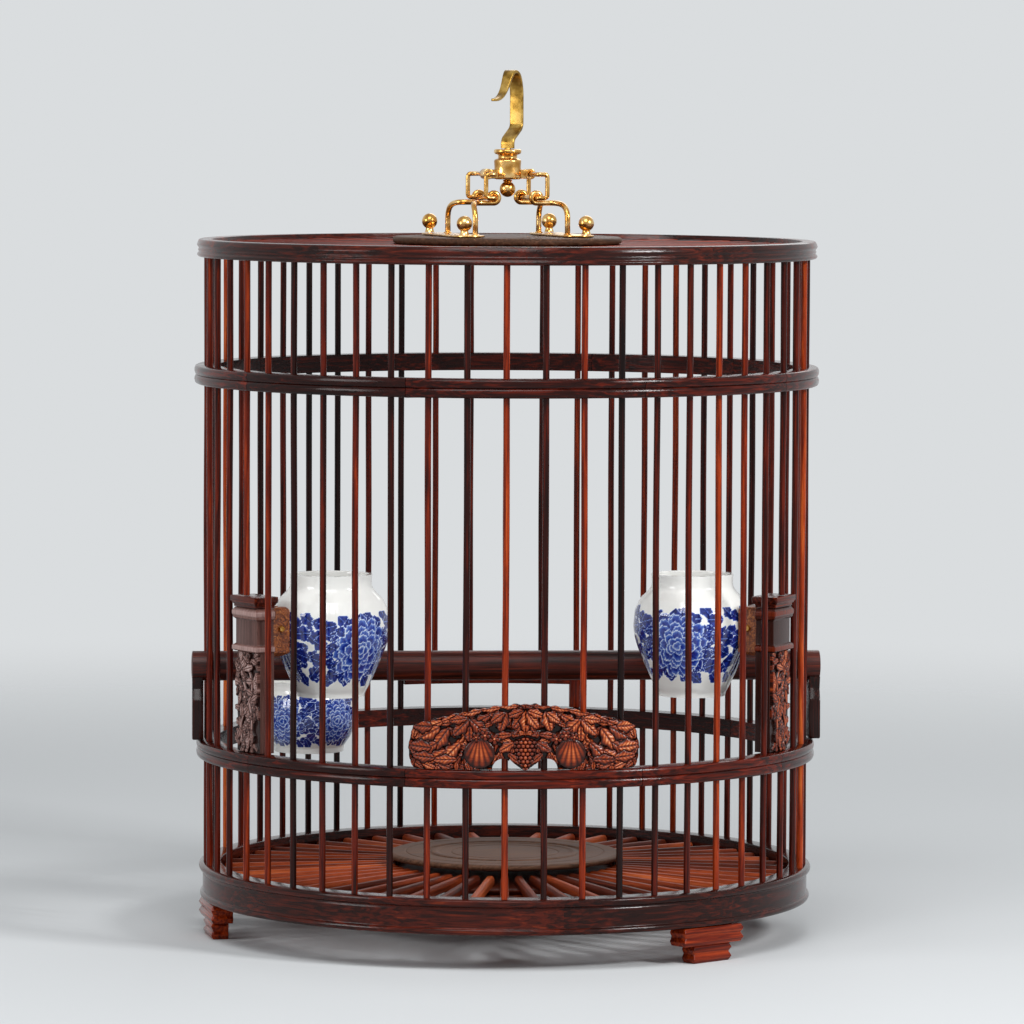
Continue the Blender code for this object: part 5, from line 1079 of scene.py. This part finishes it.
# Links: closed loops of brass wire, bowed like a C from the side. The lower bar turns in
# the legs' curls and the upper bar in the swivel block's arms.
LINK_SIDE, LINK_OUT = 0.019, 0.018
corners = ((PIVOT_OUT, -LINK_SIDE, UPPER_PIVOT), (PIVOT_OUT, LINK_SIDE, UPPER_PIVOT),
           (LINK_OUT, LINK_SIDE, UPPER_PIVOT), (LINK_OUT, LINK_SIDE, LOWER_PIVOT),
           (PIVOT_OUT, LINK_SIDE, LOWER_PIVOT), (PIVOT_OUT, -LINK_SIDE, LOWER_PIVOT),
           (LINK_OUT, -LINK_SIDE, LOWER_PIVOT), (LINK_OUT, -LINK_SIDE, UPPER_PIVOT))
loop = eased(corners, 0.0021, 8)[:-1]
for name, body, side in (("claw_link_left", "link_left", -1),
                         ("claw_link_right", "link_right", 1)):
    wire = carried(circle(LINK_RADIUS, 18), loop * (side, 1, 1), (1, 1, 1), closed=True)[0]
    surface("wire_" + name, metal(CLAW_TURN, wire), brass, body, name)

# Swivel block: a turned brass barrel with a groove and a crisp rim. Two flat arms end
# in bored knuckles for the links, and the hook's shank runs down its bore.
BLOCK_LOW, BLOCK_HIGH = 0.4281, 0.4452
BARREL = ((0.0021, BLOCK_HIGH), (0.0072, BLOCK_HIGH), (0.0078, BLOCK_HIGH - 0.0006),
          (0.0078, 0.4432), (0.0072, 0.4425), (0.0054, 0.4419), (0.0054, 0.4400),
          (0.0072, 0.4394), (0.0078, 0.4387), (0.0075, 0.4350), (0.0078, 0.4318),
          (0.0078, 0.4290), (0.0072, BLOCK_LOW), (0.0021, BLOCK_LOW))
ARM_REACH, ARM_HALF, ARM_THICK = 0.0108, 0.0038, 0.0026
KNUCKLE_BORE, KNUCKLE_OUTER, KNUCKLE_HALF = 0.0016, 0.0030, 0.0043
knuckle = lathed(oblong(KNUCKLE_BORE, KNUCKLE_OUTER, -KNUCKLE_HALF, KNUCKLE_HALF, 0.0003), 28)
arm = block(eased(((0, 0, 0, 0), (0, ARM_HALF, -ARM_THICK, ARM_THICK),
                   (ARM_REACH, ARM_HALF, -ARM_THICK, ARM_THICK), (ARM_REACH, 0, 0, 0)),
                  0.0003, closed=False), 0.0005)
shapes = [lathed(eased(BARREL, 0.0005), 56)]
for side in (-1, 1):
    shapes.append(knuckle[..., (0, 2, 1)] + (side * PIVOT_OUT, 0, UPPER_PIVOT))
    shapes.append(arm[..., (2, 0, 1)] * (side, 1, 1) + (0, 0, UPPER_PIVOT))
surface("turned_swivel_block", metal(CLAW_TURN, *shapes), brass, "swivel",
        "swivel_block")

# Hook: a flat strip of brass, hammered thin towards its tip and bent over into a narrow
# arch that runs down to a curled nose. It steps back over its round shank, so that the
# load hangs under the bend.
HOOK_TURN = radians(-28.6)
HOOK_FOOT, HOOK_BACK, SPRING = BLOCK_HIGH + GAP, -0.0120, 0.4738
CREST, CREST_BACK, NOSE_REACH, NOSE_LEVEL = 0.4890, -0.0040, 0.0190, 0.4730
SHANK_RADIUS, SHANK_LOW = 0.0018, 0.4229
lower = eased(((0.0, HOOK_FOOT), (0.0, HOOK_FOOT + 0.0050), (HOOK_BACK, HOOK_FOOT + 0.0120),
               (HOOK_BACK, SPRING)), 0.0030, 8, closed=False)
rise = bowed(((HOOK_BACK, SPRING), (HOOK_BACK, SPRING + 0.6 * (CREST - SPRING)),
              (HOOK_BACK + 0.4 * (CREST_BACK - HOOK_BACK), CREST), (CREST_BACK, CREST)), 20)
fall = bowed(((CREST_BACK, CREST), (0.0023, CREST), (0.0023, NOSE_LEVEL),
              (NOSE_REACH, NOSE_LEVEL)), 30)
line = np.vstack((lower[:-1], rise, fall[1:]))
path = np.stack((np.zeros(len(line)), -line[:, 0], line[:, 1]), axis=-1)
narrow = np.clip((np.arange(len(line)) - len(line) * 0.55) / (len(line) * 0.45), 0, 1)
wide = np.stack((1 - 0.60 * narrow, 1 - 0.25 * narrow), axis=-1)
strip = carried(oblong(-0.0040, 0.0040, -0.0010, 0.0010, 0.0006, 5), path, (1, 0, 0),
                0.0004, wide)[0]
shank = carried(circle(SHANK_RADIUS, 24), ((0, 0, SHANK_LOW), (0, 0, 0.4300),
                                           (0, 0, HOOK_FOOT + 0.0008)), (1, 0, 0),
                0.0004)[0]
surface("hammered_hook", metal(HOOK_TURN, strip, shank), old_brass, "hook", "hook")

# Hook nut: a turned brass ball under the block that holds the shank from below and
# leaves it free to spin.
HOOK_NUT_Z, HOOK_NUT = 0.4226, 0.0045
tilt = np.linspace(1.10, -pi / 2, 22)
ball = [(0.0, BLOCK_LOW - GAP), (0.0024, BLOCK_LOW - GAP), (0.0027, 0.4272)]
ball += [(HOOK_NUT * cos(a), HOOK_NUT_Z + HOOK_NUT * sin(a)) for a in tilt]
surface("turned_hook_nut", metal(0, lathed(ball, 40)), brass, "hook", "hook_nut")

# Table and light: a pale grey sheet that fades into an even pale backdrop, a soft light
# from the upper right, a weaker one from the left, a wide one above and one from behind.
TABLE, SHEET_NEAR, SHEET_FAR = 3.0, 0.7, 1.9
PAPER, BACKDROP, BACKDROP_STRENGTH, DAYLIGHT = "#d0d3d5", "#dfe2e4", 0.95, 0.36
LAMP_AIM = (0, 0, 0.22)
LIGHTS = (("key", (1.5, -1.3, 1.3), 0.42, 33.0), ("fill", (-1.8, -0.9, 0.8), 0.7, 12.0),
          ("top", (-0.2, -1.0, 1.6), 0.9, 15.0), ("rim", (0.5, 1.7, 1.3), 1.0, 7.0))
mesh = bpy.data.meshes.new("table")
mesh.from_pydata([(x, y, 0) for y in (-TABLE, TABLE) for x in (-TABLE, TABLE)], [],
                 [(0, 1, 3, 2)])
table = bpy.data.objects.new("table", mesh)
bpy.context.scene.collection.objects.link(table)
paper, tree, shader = blank("pale_paper")
shader.inputs["Base Color"].default_value = linear(PAPER)
shader.inputs["Roughness"].default_value = 0.9
shader.inputs["Specular IOR Level"].default_value = 0.1
place = node(tree, "TexCoord").outputs["Object"]
reach = node(tree, "VectorMath", [(0, place)], operation='LENGTH').outputs["Value"]
fade = node(tree, "MapRange", [("Value", reach), ("From Min", SHEET_NEAR),
                               ("From Max", SHEET_FAR)], interpolation_type='SMOOTHSTEP')
clear = node(tree, "BsdfTransparent").outputs[0]
sheet = node(tree, "MixShader", [(0, fade.outputs[0]), (1, shader.outputs[0]), (2, clear)])
tree.links.new(sheet.outputs[0], tree.nodes["Material Output"].inputs["Surface"])
mesh.materials.append(paper)
for name, place, size, power in LIGHTS:
    light = bpy.data.lights.new(name, 'AREA')
    light.size = size
    light.energy = power
    lamp = bpy.data.objects.new(name, light)
    lamp.location = place
    aim = Vector(LAMP_AIM) - lamp.location
    lamp.rotation_euler = aim.to_track_quat('-Z', 'Y').to_euler()
    bpy.context.scene.collection.objects.link(lamp)
world = bpy.data.worlds.new("studio")
world.use_nodes = True
tree = world.node_tree
shown = tree.nodes["Background"]
shown.inputs["Color"].default_value = linear(BACKDROP)
shown.inputs["Strength"].default_value = BACKDROP_STRENGTH
daylight = node(tree, "Background")
daylight.inputs["Color"].default_value = linear(BACKDROP)
daylight.inputs["Strength"].default_value = DAYLIGHT
ray = node(tree, "LightPath")
seen = node(tree, "Math", [(0, ray.outputs["Is Camera Ray"]),
                           (1, ray.outputs["Is Transmission Ray"])], operation='MAXIMUM')
seen = node(tree, "Math", [(0, seen.outputs[0]), (1, ray.outputs["Is Glossy Ray"])],
            operation='MAXIMUM')
sky = node(tree, "MixShader", [(0, seen.outputs[0]), (1, daylight.outputs[0]),
                               (2, shown.outputs[0])])
tree.links.new(sky.outputs[0], tree.nodes["World Output"].inputs["Surface"])
bpy.context.scene.world = world

# Camera: a long lens at the photograph's place, a few degrees to the left of the front
# and a little above the top ring, looking slightly down.
FOCAL_PIXELS, FRAME_PIXELS, MIDDLE_PIXEL, FILM = 5953, 1024, 507.9, 36.0
CAMERA_TURN, CAMERA_REACH, CAMERA_HEIGHT = radians(-3.6), 3.38, 0.4725
CAMERA_TILT, CAMERA_ROLL = radians(3.951), radians(-0.25)
lens = bpy.data.cameras.new("camera")
lens.lens = FOCAL_PIXELS * FILM / FRAME_PIXELS
lens.sensor_width = FILM
lens.shift_x = (FRAME_PIXELS / 2 - MIDDLE_PIXEL) / FRAME_PIXELS
camera = bpy.data.objects.new("camera", lens)
camera.location = (CAMERA_REACH * sin(CAMERA_TURN), -CAMERA_REACH * cos(CAMERA_TURN),
                   CAMERA_HEIGHT)
camera.rotation_euler = (pi / 2 - CAMERA_TILT, CAMERA_ROLL, CAMERA_TURN)
bpy.context.scene.collection.objects.link(camera)
bpy.context.scene.camera = camera
bpy.context.scene.view_settings.view_transform = 'Standard'
